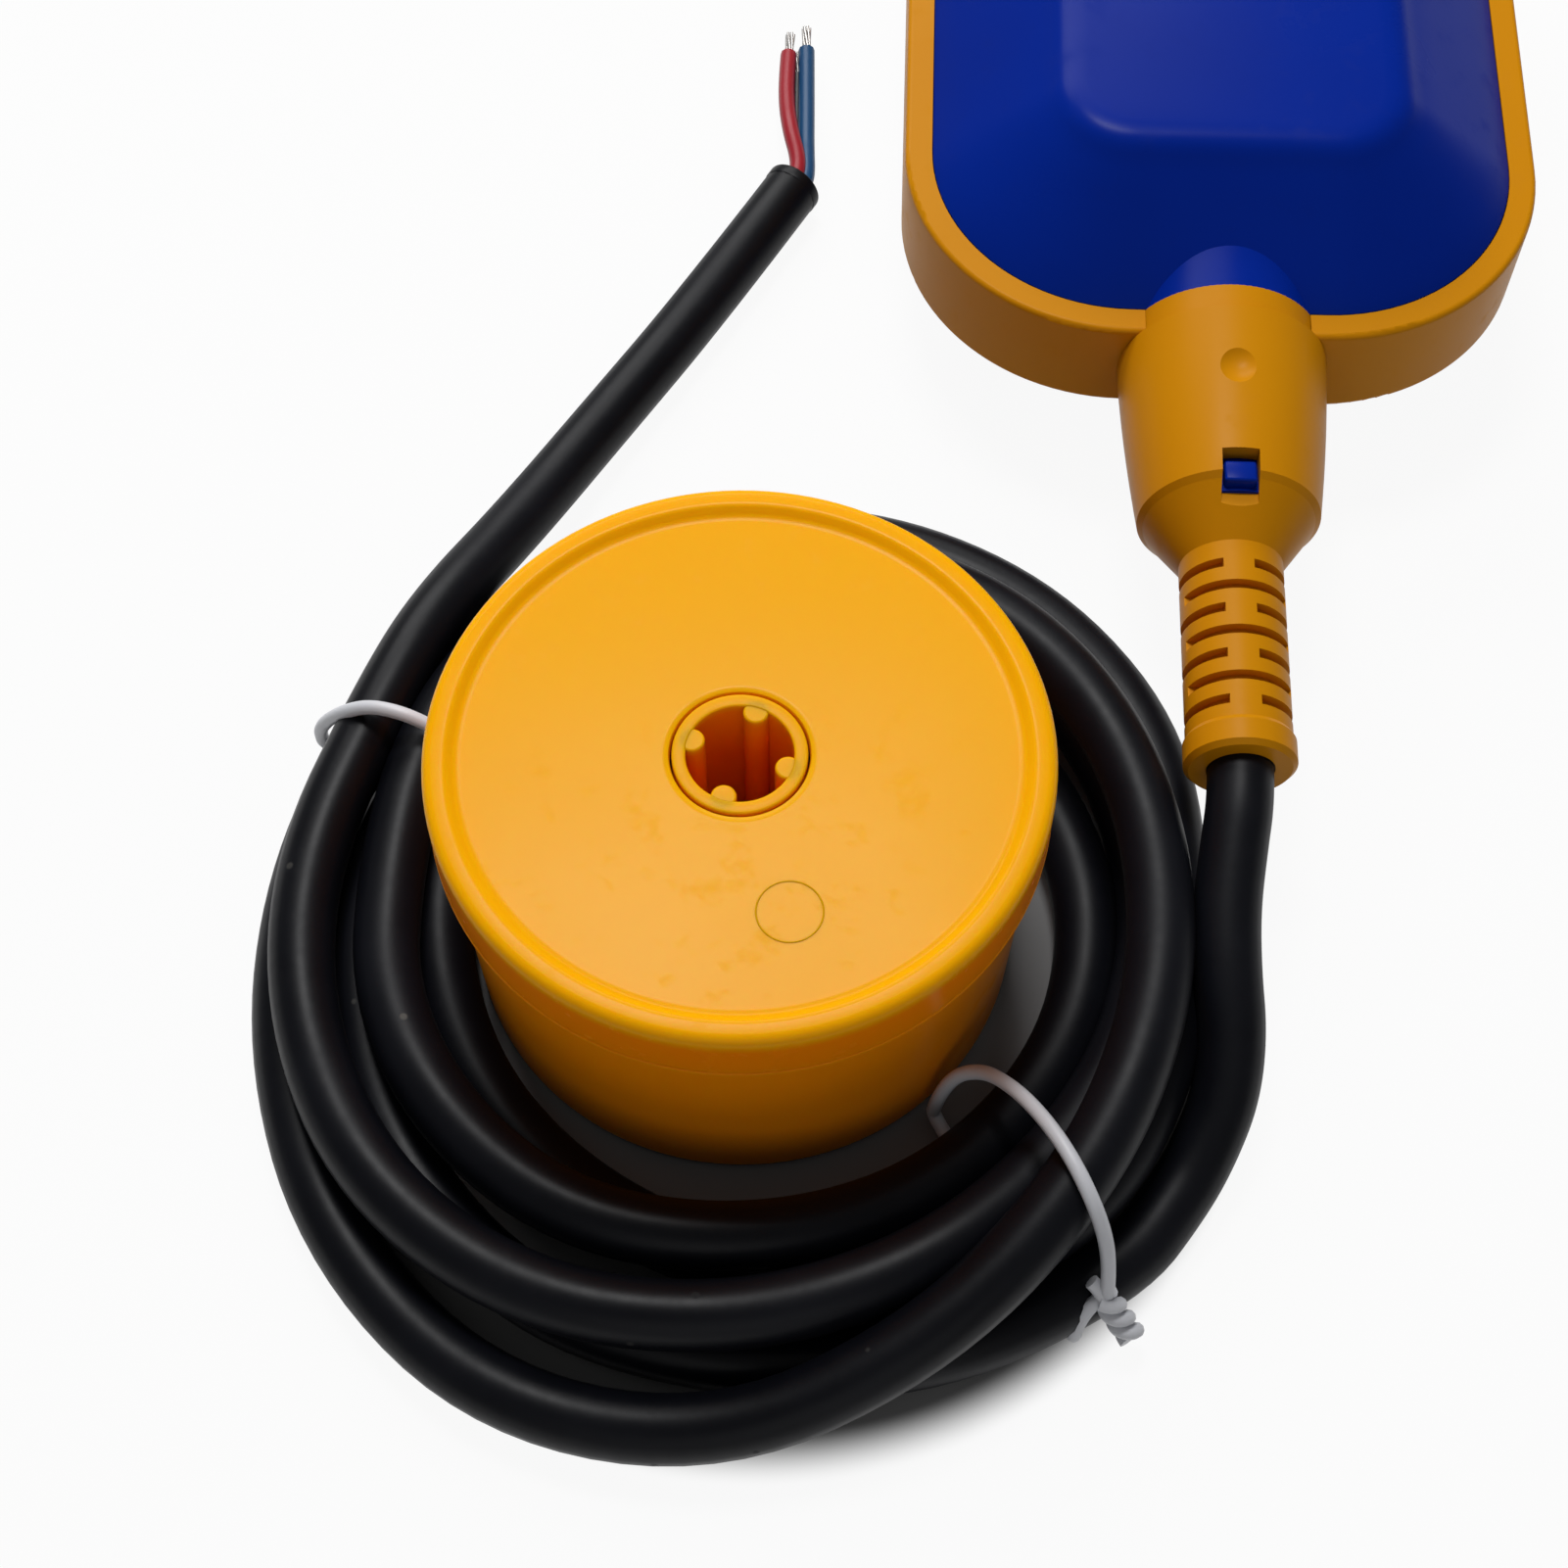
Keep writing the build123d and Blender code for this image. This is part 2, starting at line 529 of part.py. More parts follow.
# Microswitch case: a tray with screw pillars, slots for the strips, a plunger hole and lever ears
EAR_Z = LEVER_W / 2 + RUN_CLEAR + EAR_T / 2
RIVET_STACK = BLADE_T / 2 + 2 * RIVET_H + RUN_CLEAR
case_floor = Plane(origin=(FLOAT_X, SWITCH_Y, CASE_FLOOR_Z))
switch_mid = Plane(origin=(FLOAT_X, SWITCH_Y, MID_Z))
case_front = Plane(origin=(FLOAT_X, SWITCH_Y + CASE_W / 2, MID_Z), x_dir=(1, 0, 0), z_dir=(0, -1, 0))
with BuildPart() as switch_case:
    with BuildSketch(case_floor):
        Rectangle(CASE_L, CASE_W)
    extrude(amount=CASE_H - COVER_T)
    fillet(switch_case.edges().filter_by(Axis.Z), CASE_EDGE_R)
    with BuildSketch(case_floor.offset(CASE_WALL)):
        Rectangle(CASE_L - 2 * CASE_WALL, CASE_W - 2 * CASE_WALL)
    extrude(amount=CASE_H, mode=Mode.SUBTRACT)
    with BuildSketch(case_floor):
        with Locations((-CASE_HOLE_X, CASE_HOLE_Y), (CASE_HOLE_X, CASE_HOLE_Y)):
            Circle(CASE_PILLAR_R)
    extrude(amount=CASE_H - COVER_T)
    with BuildSketch(case_floor):
        with Locations((-CASE_HOLE_X, CASE_HOLE_Y), (CASE_HOLE_X, CASE_HOLE_Y)):
            Circle(CASE_HOLE_R)
    extrude(amount=CASE_H, mode=Mode.SUBTRACT)
    with BuildSketch(switch_mid.offset(-STRIP_W / 2)):
        with Locations((PIVOT_X, -CASE_W / 2), (OPEN_TAB_X, -CASE_W / 2)):
            Rectangle(STRIP_T, 2 * CASE_WALL + OVERRUN)
        with Locations((CASE_L / 2, PIVOT_Y + RIVET_STACK + STRIP_T / 2)):
            Rectangle(2 * CASE_WALL + OVERRUN, STRIP_T)
    extrude(amount=STRIP_W, mode=Mode.SUBTRACT)
    with BuildSketch(case_front):
        with Locations((PLUNGER_X, 0)):
            Circle(PLUNGER_R + RUN_CLEAR)
    extrude(amount=2 * CASE_WALL, both=True, mode=Mode.SUBTRACT)
    with BuildSketch(switch_mid):
        with Locations((LEVER_PIN_X, CASE_W / 2 + EAR_L / 2)):
            Rectangle(EAR_L, EAR_L)
        with Locations((LEVER_PIN_X, CASE_W / 2 + LEVER_PIN_OUT)):
            Circle(LEVER_PIN_R, mode=Mode.SUBTRACT)
    extrude(amount=EAR_Z + EAR_T / 2, both=True)
    with BuildSketch(switch_mid):
        with Locations((LEVER_PIN_X, CASE_W / 2 + EAR_L)):
            Rectangle(EAR_L + OVERRUN, 2 * EAR_L)
    extrude(amount=EAR_Z - EAR_T / 2, both=True, mode=Mode.SUBTRACT)
save(switch_case, "switch_case")

with BuildPart() as switch_cover:
    with BuildSketch(case_floor.offset(CASE_H - COVER_T)):
        Rectangle(CASE_L, CASE_W)
        with Locations((-CASE_HOLE_X, CASE_HOLE_Y), (CASE_HOLE_X, CASE_HOLE_Y)):
            Circle(CASE_HOLE_R, mode=Mode.SUBTRACT)
    extrude(amount=COVER_T)
    cover_edges = switch_cover.edges().filter_by(Axis.Z)
    fillet(cover_edges.sort_by_distance((FLOAT_X, SWITCH_Y, MID_Z))[-4:], CASE_EDGE_R)
save(switch_cover, "switch_cover")

with BuildPart() as switch_screws:
    with BuildSketch(case_floor.offset(CASE_H)):
        with Locations((-CASE_HOLE_X, CASE_HOLE_Y), (CASE_HOLE_X, CASE_HOLE_Y)):
            Circle(CASE_SCREW_R)
    extrude(amount=-CASE_H - CHAMBER_H / 2 + CHAMBER_WALL + CASE_H / 2)
    with BuildSketch(case_floor.offset(CASE_H)):
        with Locations((-CASE_HOLE_X, CASE_HOLE_Y), (CASE_HOLE_X, CASE_HOLE_Y)):
            Circle(CASE_HEAD_R)
    extrude(amount=CASE_HEAD_H)
save(switch_screws, "switch_screws")

# Contact strips: common, normally open below the blade, normally closed above it
OPEN_Y = PIVOT_Y - RIVET_STACK - BLADE_L * sin(atan2(PLUNGER_TRAVEL, PLUNGER_X - PIVOT_X))
CLOSED_Y = PIVOT_Y + RIVET_STACK
TAB_END_Y = -CASE_W / 2 - TAB_OUT

with BuildPart() as terminal_common:
    with BuildSketch(switch_mid):
        with Locations((PIVOT_X, (TAB_END_Y + PIVOT_Y) / 2)):
            Rectangle(STRIP_T, PIVOT_Y - TAB_END_Y)
        with Locations((PIVOT_X, PIVOT_Y)):
            Circle(BLADE_T + RUN_CLEAR, mode=Mode.SUBTRACT)
    extrude(amount=STRIP_W / 2, both=True)
save(terminal_common, "terminal_common")

with BuildPart() as terminal_open:
    with BuildSketch(switch_mid):
        with Locations((OPEN_TAB_X, (TAB_END_Y + OPEN_Y) / 2)):
            Rectangle(STRIP_T, OPEN_Y - TAB_END_Y)
        with Locations(((OPEN_TAB_X + CONTACT_X) / 2, OPEN_Y - STRIP_T / 2)):
            Rectangle(CONTACT_X - OPEN_TAB_X + 2 * RIVET_R, STRIP_T)
    extrude(amount=STRIP_W / 2, both=True)
    with BuildSketch(Plane(origin=(FLOAT_X + CONTACT_X, SWITCH_Y + OPEN_Y, MID_Z), z_dir=(0, 1, 0))):
        Circle(RIVET_R)
    extrude(amount=RIVET_H)
save(terminal_open, "terminal_open")

with BuildPart() as terminal_closed:
    with BuildSketch(switch_mid):
        with Locations(((CONTACT_X - RIVET_R + CLOSED_TAB_X + STRIP_T / 2) / 2, CLOSED_Y + STRIP_T / 2)):
            Rectangle(CLOSED_TAB_X + STRIP_T / 2 - CONTACT_X + RIVET_R, STRIP_T)
        with Locations((CLOSED_TAB_X, (CLOSED_Y + CLOSED_TAB_Y) / 2)):
            Rectangle(STRIP_T, CLOSED_Y - CLOSED_TAB_Y)
    extrude(amount=STRIP_W / 2, both=True)
    with BuildSketch(Plane(origin=(FLOAT_X + CONTACT_X, SWITCH_Y + CLOSED_Y, MID_Z), z_dir=(0, -1, 0))):
        Circle(RIVET_R)
    extrude(amount=RIVET_H)
save(terminal_closed, "terminal_closed")

# Moving blade, hinged in the common strip's notch, with a rivet on both sides of its tip
with BuildPart() as contact_blade:
    with BuildSketch(switch_mid):
        with Locations((PIVOT_X + BLADE_L / 2, PIVOT_Y)):
            Rectangle(BLADE_L, BLADE_T)
        with Locations((PIVOT_X, PIVOT_Y)):
            Circle(BLADE_T)
    extrude(amount=BLADE_W / 2, both=True)
    with BuildSketch(Plane(origin=(FLOAT_X + CONTACT_X, SWITCH_Y + PIVOT_Y, MID_Z), z_dir=(0, 1, 0))):
        Circle(RIVET_R)
    extrude(amount=BLADE_T / 2 + RIVET_H, both=True)
save(contact_blade, "contact_blade")

PLUNGER_FOOT_Y = PIVOT_Y + BLADE_T / 2 + RUN_CLEAR
PLUNGER_TIP_Y = CASE_W / 2 + LEVER_PIN_OUT + LEVER_RISE + PLUNGER_TRAVEL - RUN_CLEAR
with BuildPart() as switch_plunger:
    with BuildSketch(Plane(origin=(FLOAT_X + PLUNGER_X, SWITCH_Y + PLUNGER_FOOT_Y, MID_Z), z_dir=(0, 1, 0))):
        Circle(PLUNGER_FOOT_R)
    extrude(amount=PLUNGER_FOOT_L)
    with BuildSketch(switch_plunger.faces().sort_by(Axis.Y)[-1]):
        Circle(PLUNGER_R)
    extrude(amount=PLUNGER_TIP_Y - PLUNGER_FOOT_Y - PLUNGER_FOOT_L)
    fillet(switch_plunger.edges().group_by(Axis.Y)[-1], PLUNGER_TIP_R)
save(switch_plunger, "switch_plunger")

with BuildPart() as lever_pin:
    with BuildSketch(Plane(origin=(FLOAT_X + LEVER_PIN_X, LEVER_PIN_Y, MID_Z))):
        Circle(LEVER_PIN_R)
    extrude(amount=EAR_Z + EAR_T / 2, both=True)
save(lever_pin, "lever_pin")

lever_plane = Plane(origin=(FLOAT_X + LEVER_PIN_X, LEVER_PIN_Y, MID_Z)).rotated((0, 0, LEVER_ANGLE))
with BuildPart() as switch_lever:
    with BuildSketch(lever_plane):
        with Locations((LEVER_L / 2, LEVER_RISE + LEVER_T / 2)):
            Rectangle(LEVER_L, LEVER_T)
        Circle(LEVER_KNUCKLE_R)
        Circle(LEVER_PIN_R + PIN_CLEAR, mode=Mode.SUBTRACT)
    extrude(amount=LEVER_W / 2, both=True)
save(switch_lever, "switch_lever")


def tube(name, points, radii, diameter, cut_by=()):
    """A round tube along straight runs joined by tangent arcs, less the pieces that it meets."""
    with BuildPart() as piece:
        with BuildLine():
            path = FilletPolyline(*points, radius=radii)
        with BuildSketch(Plane(origin=path @ 0, z_dir=path % 0)):
            Circle(diameter / 2)
        sweep(path=path)
        for other in cut_by:
            add(other.part, mode=Mode.SUBTRACT)
    save(piece, name)
    print(name, "length", round(path.length, 1), "volume", round(piece.part.volume, 1))
    return piece


def corner_radii(points, share=0.45):
    """The largest arcs that the runs beside each corner allow."""
    radii = []
    for before, here, after in zip(points, points[1:], points[2:]):
        arriving = Vector(*here) - Vector(*before)
        leaving = Vector(*after) - Vector(*here)
        half_turn = radians(arriving.get_angle(leaving)) / 2
        radii.append(share * min(arriving.length, leaving.length) / tan(half_turn))
    return radii


# The three cores inside, from the end of the jacket to their tabs
JACKET_Y = END_Y + CABLE_END_INSIDE
TAB_SPOTS = ((PIVOT_X, TAB_END_Y), (OPEN_TAB_X, TAB_END_Y), (CLOSED_TAB_X, CLOSED_TAB_Y))
LEAD_NAMES = ("lead_black", "lead_blue", "lead_red")
for lead_name, (core_x, core_z), (tab_x, tab_y) in zip(LEAD_NAMES, CORE_SPOTS, TAB_SPOTS):
    lead_points = (
        (FLOAT_X + core_x, JACKET_Y, MID_Z + core_z),
        (FLOAT_X + core_x, CHAMBER_Y + CHAMBER_WALL + LEAD_SPLIT, MID_Z + core_z),
        (FLOAT_X + tab_x, SWITCH_Y + tab_y - LEAD_STRAIGHT, MID_Z),
        (FLOAT_X + tab_x, SWITCH_Y + tab_y, MID_Z),
    )
    tube(lead_name, lead_points, LEAD_BEND_R, CORE_D)

# Counterweight: a cup with a ribbed tube for the cable, a lid with a raised rim, and its ballast
CUP_H = WEIGHT_H - LID_H
LID_TOP = WEIGHT_H - LID_RIM_H
LID_R = WEIGHT_R - SEAM_OUT
with BuildPart() as weight_cup:
    with BuildSketch(weight_plane):
        with BuildLine():
            Polyline(
                (TUBE_BORE_R, 0),
                (CUP_FOOT_R, 0),
                (CUP_TOP_R, CUP_H - SEAM_H),
                (WEIGHT_R, CUP_H - SEAM_H),
                (WEIGHT_R, CUP_H),
                (CUP_TOP_R - CUP_WALL, CUP_H),
                (CUP_FOOT_R - CUP_WALL, CUP_WALL),
                (TUBE_R, CUP_WALL),
                (TUBE_R, LID_TOP),
                (TUBE_BORE_R, LID_TOP),
                close=True,
            )
        make_face()
    revolve(axis=weight_axis)
    fillet(rims(weight_cup, Axis.Z, 0)[-1], CUP_EDGE_R)
    with BuildSketch():
        with Locations((WEIGHT_X, WEIGHT_Y)):
            with PolarLocations(TUBE_BORE_R, 4, start_angle=-TUBE_RIB_TURN):
                Circle(TUBE_RIB_R)
    extrude(amount=LID_TOP - TUBE_RIB_DROP)
save(weight_cup, "weight_cup")

BALLAST_TOP = CUP_H - SPIGOT_L - BALLAST_GAP
CUP_SLOPE = (CUP_TOP_R - CUP_FOOT_R) / (CUP_H - CUP_WALL)
BALLAST_TOP_R = CUP_FOOT_R - CUP_WALL + CUP_SLOPE * (BALLAST_TOP - CUP_WALL)
with BuildPart() as weight_ballast:
    with BuildSketch(weight_plane):
        with BuildLine():
            Polyline(
                (TUBE_R, CUP_WALL),
                (CUP_FOOT_R - CUP_WALL, CUP_WALL),
                (BALLAST_TOP_R, BALLAST_TOP),
                (TUBE_R, BALLAST_TOP),
                close=True,
            )
        make_face()
    revolve(axis=weight_axis)
save(weight_ballast, "weight_ballast")

LID_HOLE_R = TUBE_R + LID_HOLE_CLEAR
SPIGOT_R = CUP_TOP_R - CUP_WALL - FIT
with BuildPart() as weight_lid:
    with BuildSketch(weight_plane):
        with BuildLine():
            Polyline(
                (LID_HOLE_R, LID_TOP),
                (LID_R - LID_RIM_W - LID_RIM_H, LID_TOP),
                (LID_R - LID_RIM_W, WEIGHT_H),
                (LID_R, WEIGHT_H),
                (LID_R, CUP_H),
                (SPIGOT_R, CUP_H),
                (SPIGOT_R, CUP_H - SPIGOT_L),
                (SPIGOT_R - SPIGOT_T, CUP_H - SPIGOT_L),
                (SPIGOT_R - SPIGOT_T, LID_TOP - LID_WALL),
                (LID_HOLE_R, LID_TOP - LID_WALL),
                close=True,
            )
        make_face()
    revolve(axis=weight_axis)
    fillet(rims(weight_lid, Axis.Z, -1)[-1], LID_EDGE_R)
save(weight_lid, "weight_lid")

# Two wire ties round the coil. Each loop stands in an upright plane that runs out from the weight.
TIE_R = TIE_D / 2
TIE_INNER = COIL_INNER_R - TIE_R


def tie(name, angle, outer, top_out, top_z):
    """A closed wire loop round the coil, and its twisted end."""
    plane = Plane(
        origin=(WEIGHT_X, WEIGHT_Y, 0),
        x_dir=(cos(radians(angle)), sin(radians(angle)), 0),
        z_dir=(sin(radians(angle)), -cos(radians(angle)), 0),
    )
    spots = ((TIE_INNER, TIE_R), (TIE_INNER, top_z), (top_out, top_z), (outer, COIL_LAYER_H), (outer, TIE_R))
    corners = [plane.from_local_coords((u, v, 0)) for u, v in spots]
    end_corner = Vector(*corners[-2])
    with BuildPart() as piece:
        with BuildLine():
            loop = FilletPolyline(*corners, radius=TIE_CORNER_R, close=True)
        with BuildSketch(Plane(origin=loop @ 0, z_dir=loop % 0)):
            Circle(TIE_R)
        sweep(path=loop)
        with BuildSketch(Plane(origin=end_corner, z_dir=plane.x_dir - Vector(0, 0, TIE_END_DROP))):
            Circle(TIE_R)
        extrude(amount=TIE_END_L)
    save(piece, name)
    return piece


tie_left = tie("tie_left", TIE_LEFT_TURN, TIE_LEFT_OUT, TIE_LEFT_TOP_OUT, TIE_LEFT_TOP_Z)
tie_right = tie("tie_right", TIE_RIGHT_TURN, TIE_RIGHT_OUT, TIE_RIGHT_TOP_OUT, TIE_RIGHT_TOP_Z)

# Coil: one closed solid of its outer shape, higher behind the weight, and grooved by the ties
back_y = WEIGHT_Y + COIL_DY + COIL_R
front_y = WEIGHT_Y + COIL_DY - COIL_R
coil_top = Plane(
    origin=(WEIGHT_X, front_y, COIL_FRONT_LAYERS * COIL_LAYER_H),
    z_dir=(0, -(COIL_BACK_LAYERS - COIL_FRONT_LAYERS) * COIL_LAYER_H, back_y - front_y),
)
with BuildPart() as cable_coil:
    with BuildSketch():
        with Locations((WEIGHT_X + COIL_DX, WEIGHT_Y + COIL_DY)):
            Circle(COIL_R)
    extrude(amount=COIL_LAYER_H)
    fillet(cable_coil.edges().group_by(Axis.Z)[-1], COIL_EDGE_R)
    with BuildSketch():
        with Locations((WEIGHT_X + COIL_UPPER_DX, WEIGHT_Y + COIL_UPPER_DY)):
            Circle(COIL_UPPER_R)
    extrude(amount=COIL_BACK_LAYERS * COIL_LAYER_H)
    split(bisect_by=coil_top, keep=Keep.BOTTOM)
    fillet(cable_coil.faces().sort_by(Axis.Z)[-1].edges(), COIL_EDGE_R)
    with BuildSketch():
        with Locations((WEIGHT_X, WEIGHT_Y)):
            Circle(COIL_INNER_R)
    extrude(amount=2 * COIL_BACK_LAYERS * COIL_LAYER_H, mode=Mode.SUBTRACT)
    with BuildSketch(across_neck(0)):
        Circle(COLLAR_R + COIL_CLEAR)
    extrude(amount=SLEEVE_END, mode=Mode.SUBTRACT)
    add(tie_left.part, mode=Mode.SUBTRACT)
    add(tie_right.part, mode=Mode.SUBTRACT)
save(cable_coil, "cable_coil")

# Cable from the gland down into the coil, and from the coil to its bare end
LEAD_ROUTE = (
    (25.25, -60.0, 20.5),
    (25.25, -66.6, 20.5),
    (25.2, -73.0, 19.0),
    (25.0, -79.0, 16.1),
    (24.7, -86.1, 9.7),
    (24.1, -92.3, 6.3),
    (22.9, -98.8, 4.8),
    (20.9, -105.2, 4.5),
)
TAIL_ROUTE = (
    (-80.6, -67.0, 12.6),
    (-77.4, -50.0, 12.4),
    (-70.6, -35.5, 8.6),
    (-62.6, -19.5, 4.9),
    (-52.6, -1.6, 3.9),
    (-41.0, 17.6, 3.9),
    (-29.4, 39.0, 3.9),
)
tail_end = Vector(*TAIL_ROUTE[-1])
tail_heading = (tail_end - Vector(*TAIL_ROUTE[-2])).normalized()
tail_side = tail_heading.cross(Vector(0, 0, 1))
print("lead radii", [round(r, 1) for r in corner_radii(LEAD_ROUTE)])
print("tail radii", [round(r, 1) for r in corner_radii(TAIL_ROUTE)])
cable_lead = tube("cable_lead", LEAD_ROUTE, corner_radii(LEAD_ROUTE), CABLE_D, (cable_coil, tie_right))
cable_tail = tube("cable_tail", TAIL_ROUTE, corner_radii(TAIL_ROUTE), CABLE_D, (cable_coil, tie_left))

# Three bare cores beyond the jacket, and the strands at their tips
CORE_BENDS = {
    "core_red": (-1.35, 0.7, (1.2, 6.5, 1.0), (-1.6, 22.0, 0.4)),
    "core_blue": (1.35, 0.7, (2.2, 6.5, 1.0), (0.6, 24.0, 1.0)),
    "core_black": (0.0, -1.6, (2.0, 7.0, -0.6), (0.4, 23.5, -0.6)),
}
tips = []
for core_name, (side, up, bend, tip) in CORE_BENDS.items():
    start = tail_end + tail_side * side + Vector(0, 0, up)
    core_points = (start, start + Vector(*bend), start + Vector(*tip))
    points = [(p.X, p.Y, p.Z) for p in core_points]
    tube(core_name, points, corner_radii(points), CORE_D, (cable_tail,))
    tips.append((Vector(*points[-1]), (Vector(*points[-1]) - Vector(*points[-2])).normalized()))
with BuildPart() as core_strands:
    for tip_place, tip_heading in tips:
        with BuildSketch(Plane(origin=tip_place, z_dir=tip_heading)):
            Circle(STRAND_D / 2)
        extrude(amount=STRAND_L)
save(core_strands, "core_strands")
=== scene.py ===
import bpy
from math import cos, radians, sin
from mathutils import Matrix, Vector


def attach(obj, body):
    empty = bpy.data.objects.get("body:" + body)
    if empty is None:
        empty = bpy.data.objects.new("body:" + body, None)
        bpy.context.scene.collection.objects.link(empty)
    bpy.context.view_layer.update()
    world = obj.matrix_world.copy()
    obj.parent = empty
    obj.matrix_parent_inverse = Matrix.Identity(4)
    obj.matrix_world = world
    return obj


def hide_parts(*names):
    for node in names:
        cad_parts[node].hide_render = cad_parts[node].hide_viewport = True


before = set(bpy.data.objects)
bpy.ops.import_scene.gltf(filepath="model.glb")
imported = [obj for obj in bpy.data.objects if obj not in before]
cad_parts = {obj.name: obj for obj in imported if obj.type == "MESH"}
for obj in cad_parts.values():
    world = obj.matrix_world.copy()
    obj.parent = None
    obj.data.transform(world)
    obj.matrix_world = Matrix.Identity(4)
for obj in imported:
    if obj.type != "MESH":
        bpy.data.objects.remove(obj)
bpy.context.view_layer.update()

# Microswitch, raceway and sealed chamber: snap-together pieces of moulded nylon and acetal, with a
# polished ball and stamped brass strips. They sit inside the float, so their solids stay as they are
# and get their own finishes.


class Socket:
    """A shader socket that can be added, scaled and compared like a number."""

    def __init__(self, tree, link=None):
        self.tree = tree
        self.link = link

    def node(self, kind, settings=None, values=None, out=0):
        """Adds a node, sets it up, and feeds its sockets with numbers or with other sockets."""
        made = self.tree.nodes.new(kind)
        for name, setting in (settings or {}).items():
            if name == "stops":
                ramp = made.color_ramp
                while len(ramp.elements) < len(setting):
                    ramp.elements.new(1.0)
                for element, (place, shade) in zip(ramp.elements, setting):
                    element.position = place
                    element.color = (shade, shade, shade, 1.0)
            else:
                setattr(made, name, setting)
        for name, value in (values or {}).items():
            if isinstance(value, Socket):
                self.tree.links.new(value.link, made.inputs[name])
            else:
                made.inputs[name].default_value = value
        return Socket(self.tree, made.outputs[out])

    def maths(self, operation, first, second):
        return self.node("ShaderNodeMath", {"operation": operation}, {0: first, 1: second})

    def __add__(self, other):
        return self.maths("ADD", self, other)

    def __mul__(self, other):
        return self.maths("MULTIPLY", self, other)


def srgb(red, green, blue):
    """A colour read off as 0 to 255, as the shader wants it."""
    shades = []
    for value in (red, green, blue):
        share = value / 255
        shades.append(share / 12.92 if share < 0.04045 else ((share + 0.055) / 1.055) ** 2.4)
    return (*shades, 1.0)


def blank_finish(name):
    """A new material, its principled shader, a socket to start sums from, and the place on the object."""
    finish = bpy.data.materials.new(name)
    finish.use_nodes = True
    tree = finish.node_tree
    surface = tree.nodes["Principled BSDF"]
    start = Socket(tree)
    place = start.node("ShaderNodeTexCoord", out="Object")
    return finish, surface, start, place


def noise(start, place, scale, detail=3.0, roughness=0.5):
    """Soft noise from 0 to 1, with the size of its patches as 1 / scale metres."""
    values = {"Vector": place, "Scale": scale, "Detail": detail, "Roughness": roughness}
    return start.node("ShaderNodeTexNoise", {}, values)


def tint(start, share, first, second):
    """A colour between two, by a share from 0 to 1."""
    return start.node("ShaderNodeMix", {"data_type": "RGBA"}, {0: share, 6: first, 7: second}, out=2)


def dress(finish, surface, colour, rough, height, depth):
    """Feeds a finish's colour, roughness and surface relief, with the relief's depth in metres."""
    tree = finish.node_tree
    tree.links.new(colour.link, surface.inputs["Base Color"])
    tree.links.new(rough.link, surface.inputs["Roughness"])
    bump = height.node("ShaderNodeBump", {}, {"Strength": 1.0, "Distance": depth, "Height": height})
    tree.links.new(bump.link, surface.inputs["Normal"])


def moulded(name, light, dark, rough, peel=0.00003, metallic=0.0, gloss=0.5, painted_shade=None):
    """Moulded plastic or turned metal: faint flow marks, a slight orange peel, and handling scuffs. A second
    tone under a height, given with it, is painted shade: the redder colour that the plastic shows on its
    shaded lower sides."""
    finish, surface, start, place = blank_finish(name)
    flow = noise(start, place, 42.0, 4.0)
    scuff = noise(start, place, 260.0, 5.0, 0.65)
    scuff = start.node("ShaderNodeValToRGB", {"stops": ((0.55, 0.0), (0.75, 1.0))}, {"Fac": scuff})
    grain = noise(start, place, 1400.0, 2.0)
    surface.inputs["Metallic"].default_value = metallic
    surface.inputs["Specular IOR Level"].default_value = gloss
    shade = tint(start, flow * 0.55 + scuff * 0.12, srgb(*light), srgb(*dark))
    # Painted shade: toward the bottom the colour turns to the given redder tone.
    if painted_shade:
        deep, low, high = painted_shade
        rise = start.node("ShaderNodeSeparateXYZ", {}, {"Vector": place}, out="Z")
        share = start.node("ShaderNodeMapRange", {}, {"Value": rise, "From Min": low, "From Max": high})
        shade = tint(start, share, srgb(*deep), shade)
    dress(finish, surface, shade, flow * 0.1 + scuff * 0.14 + (rough - 0.08), grain * 0.6 + flow * 0.8, peel)
    return finish


def finish_nodes(finish, *names):
    """Gives CAD solids a finish."""
    for name in names:
        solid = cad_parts[name]
        solid.data.materials.clear()
        solid.data.materials.append(finish)


natural_nylon = moulded("natural_nylon", (214, 212, 200), (198, 194, 178), 0.42)
finish_nodes(natural_nylon, "chamber_tray", "chamber_lid")
white_acetal = moulded("white_acetal", (232, 232, 228), (218, 216, 208), 0.28)
finish_nodes(white_acetal, "ball_raceway")
ball_steel = moulded("ball_steel", (205, 205, 208), (180, 180, 184), 0.16, 0.000004, 1.0)
finish_nodes(ball_steel, "steel_ball")
zinc_steel = moulded("zinc_steel", (188, 188, 190), (150, 150, 154), 0.34, 0.00001, 1.0)
finish_nodes(zinc_steel, "chamber_screws", "switch_screws", "lever_pin", "switch_lever")
strip_brass = moulded("strip_brass", (214, 178, 106), (184, 146, 80), 0.3, 0.00001, 1.0)
finish_nodes(strip_brass, "terminal_common", "terminal_open", "terminal_closed", "contact_blade")
switch_black = moulded("switch_black", (40, 40, 43), (30, 30, 33), 0.45)
finish_nodes(switch_black, "switch_case", "switch_cover")
plunger_red = moulded("plunger_red", (176, 48, 40), (150, 34, 30), 0.36)
finish_nodes(plunger_red, "switch_plunger")
soft_seal = moulded("soft_seal", (34, 34, 34), (24, 24, 24), 0.66, 0.00006)
finish_nodes(soft_seal, "neck_grommet", "core_bush")
clamp_grey = moulded("clamp_grey", (150, 152, 156), (132, 134, 138), 0.4)
finish_nodes(clamp_grey, "clamp_ring")

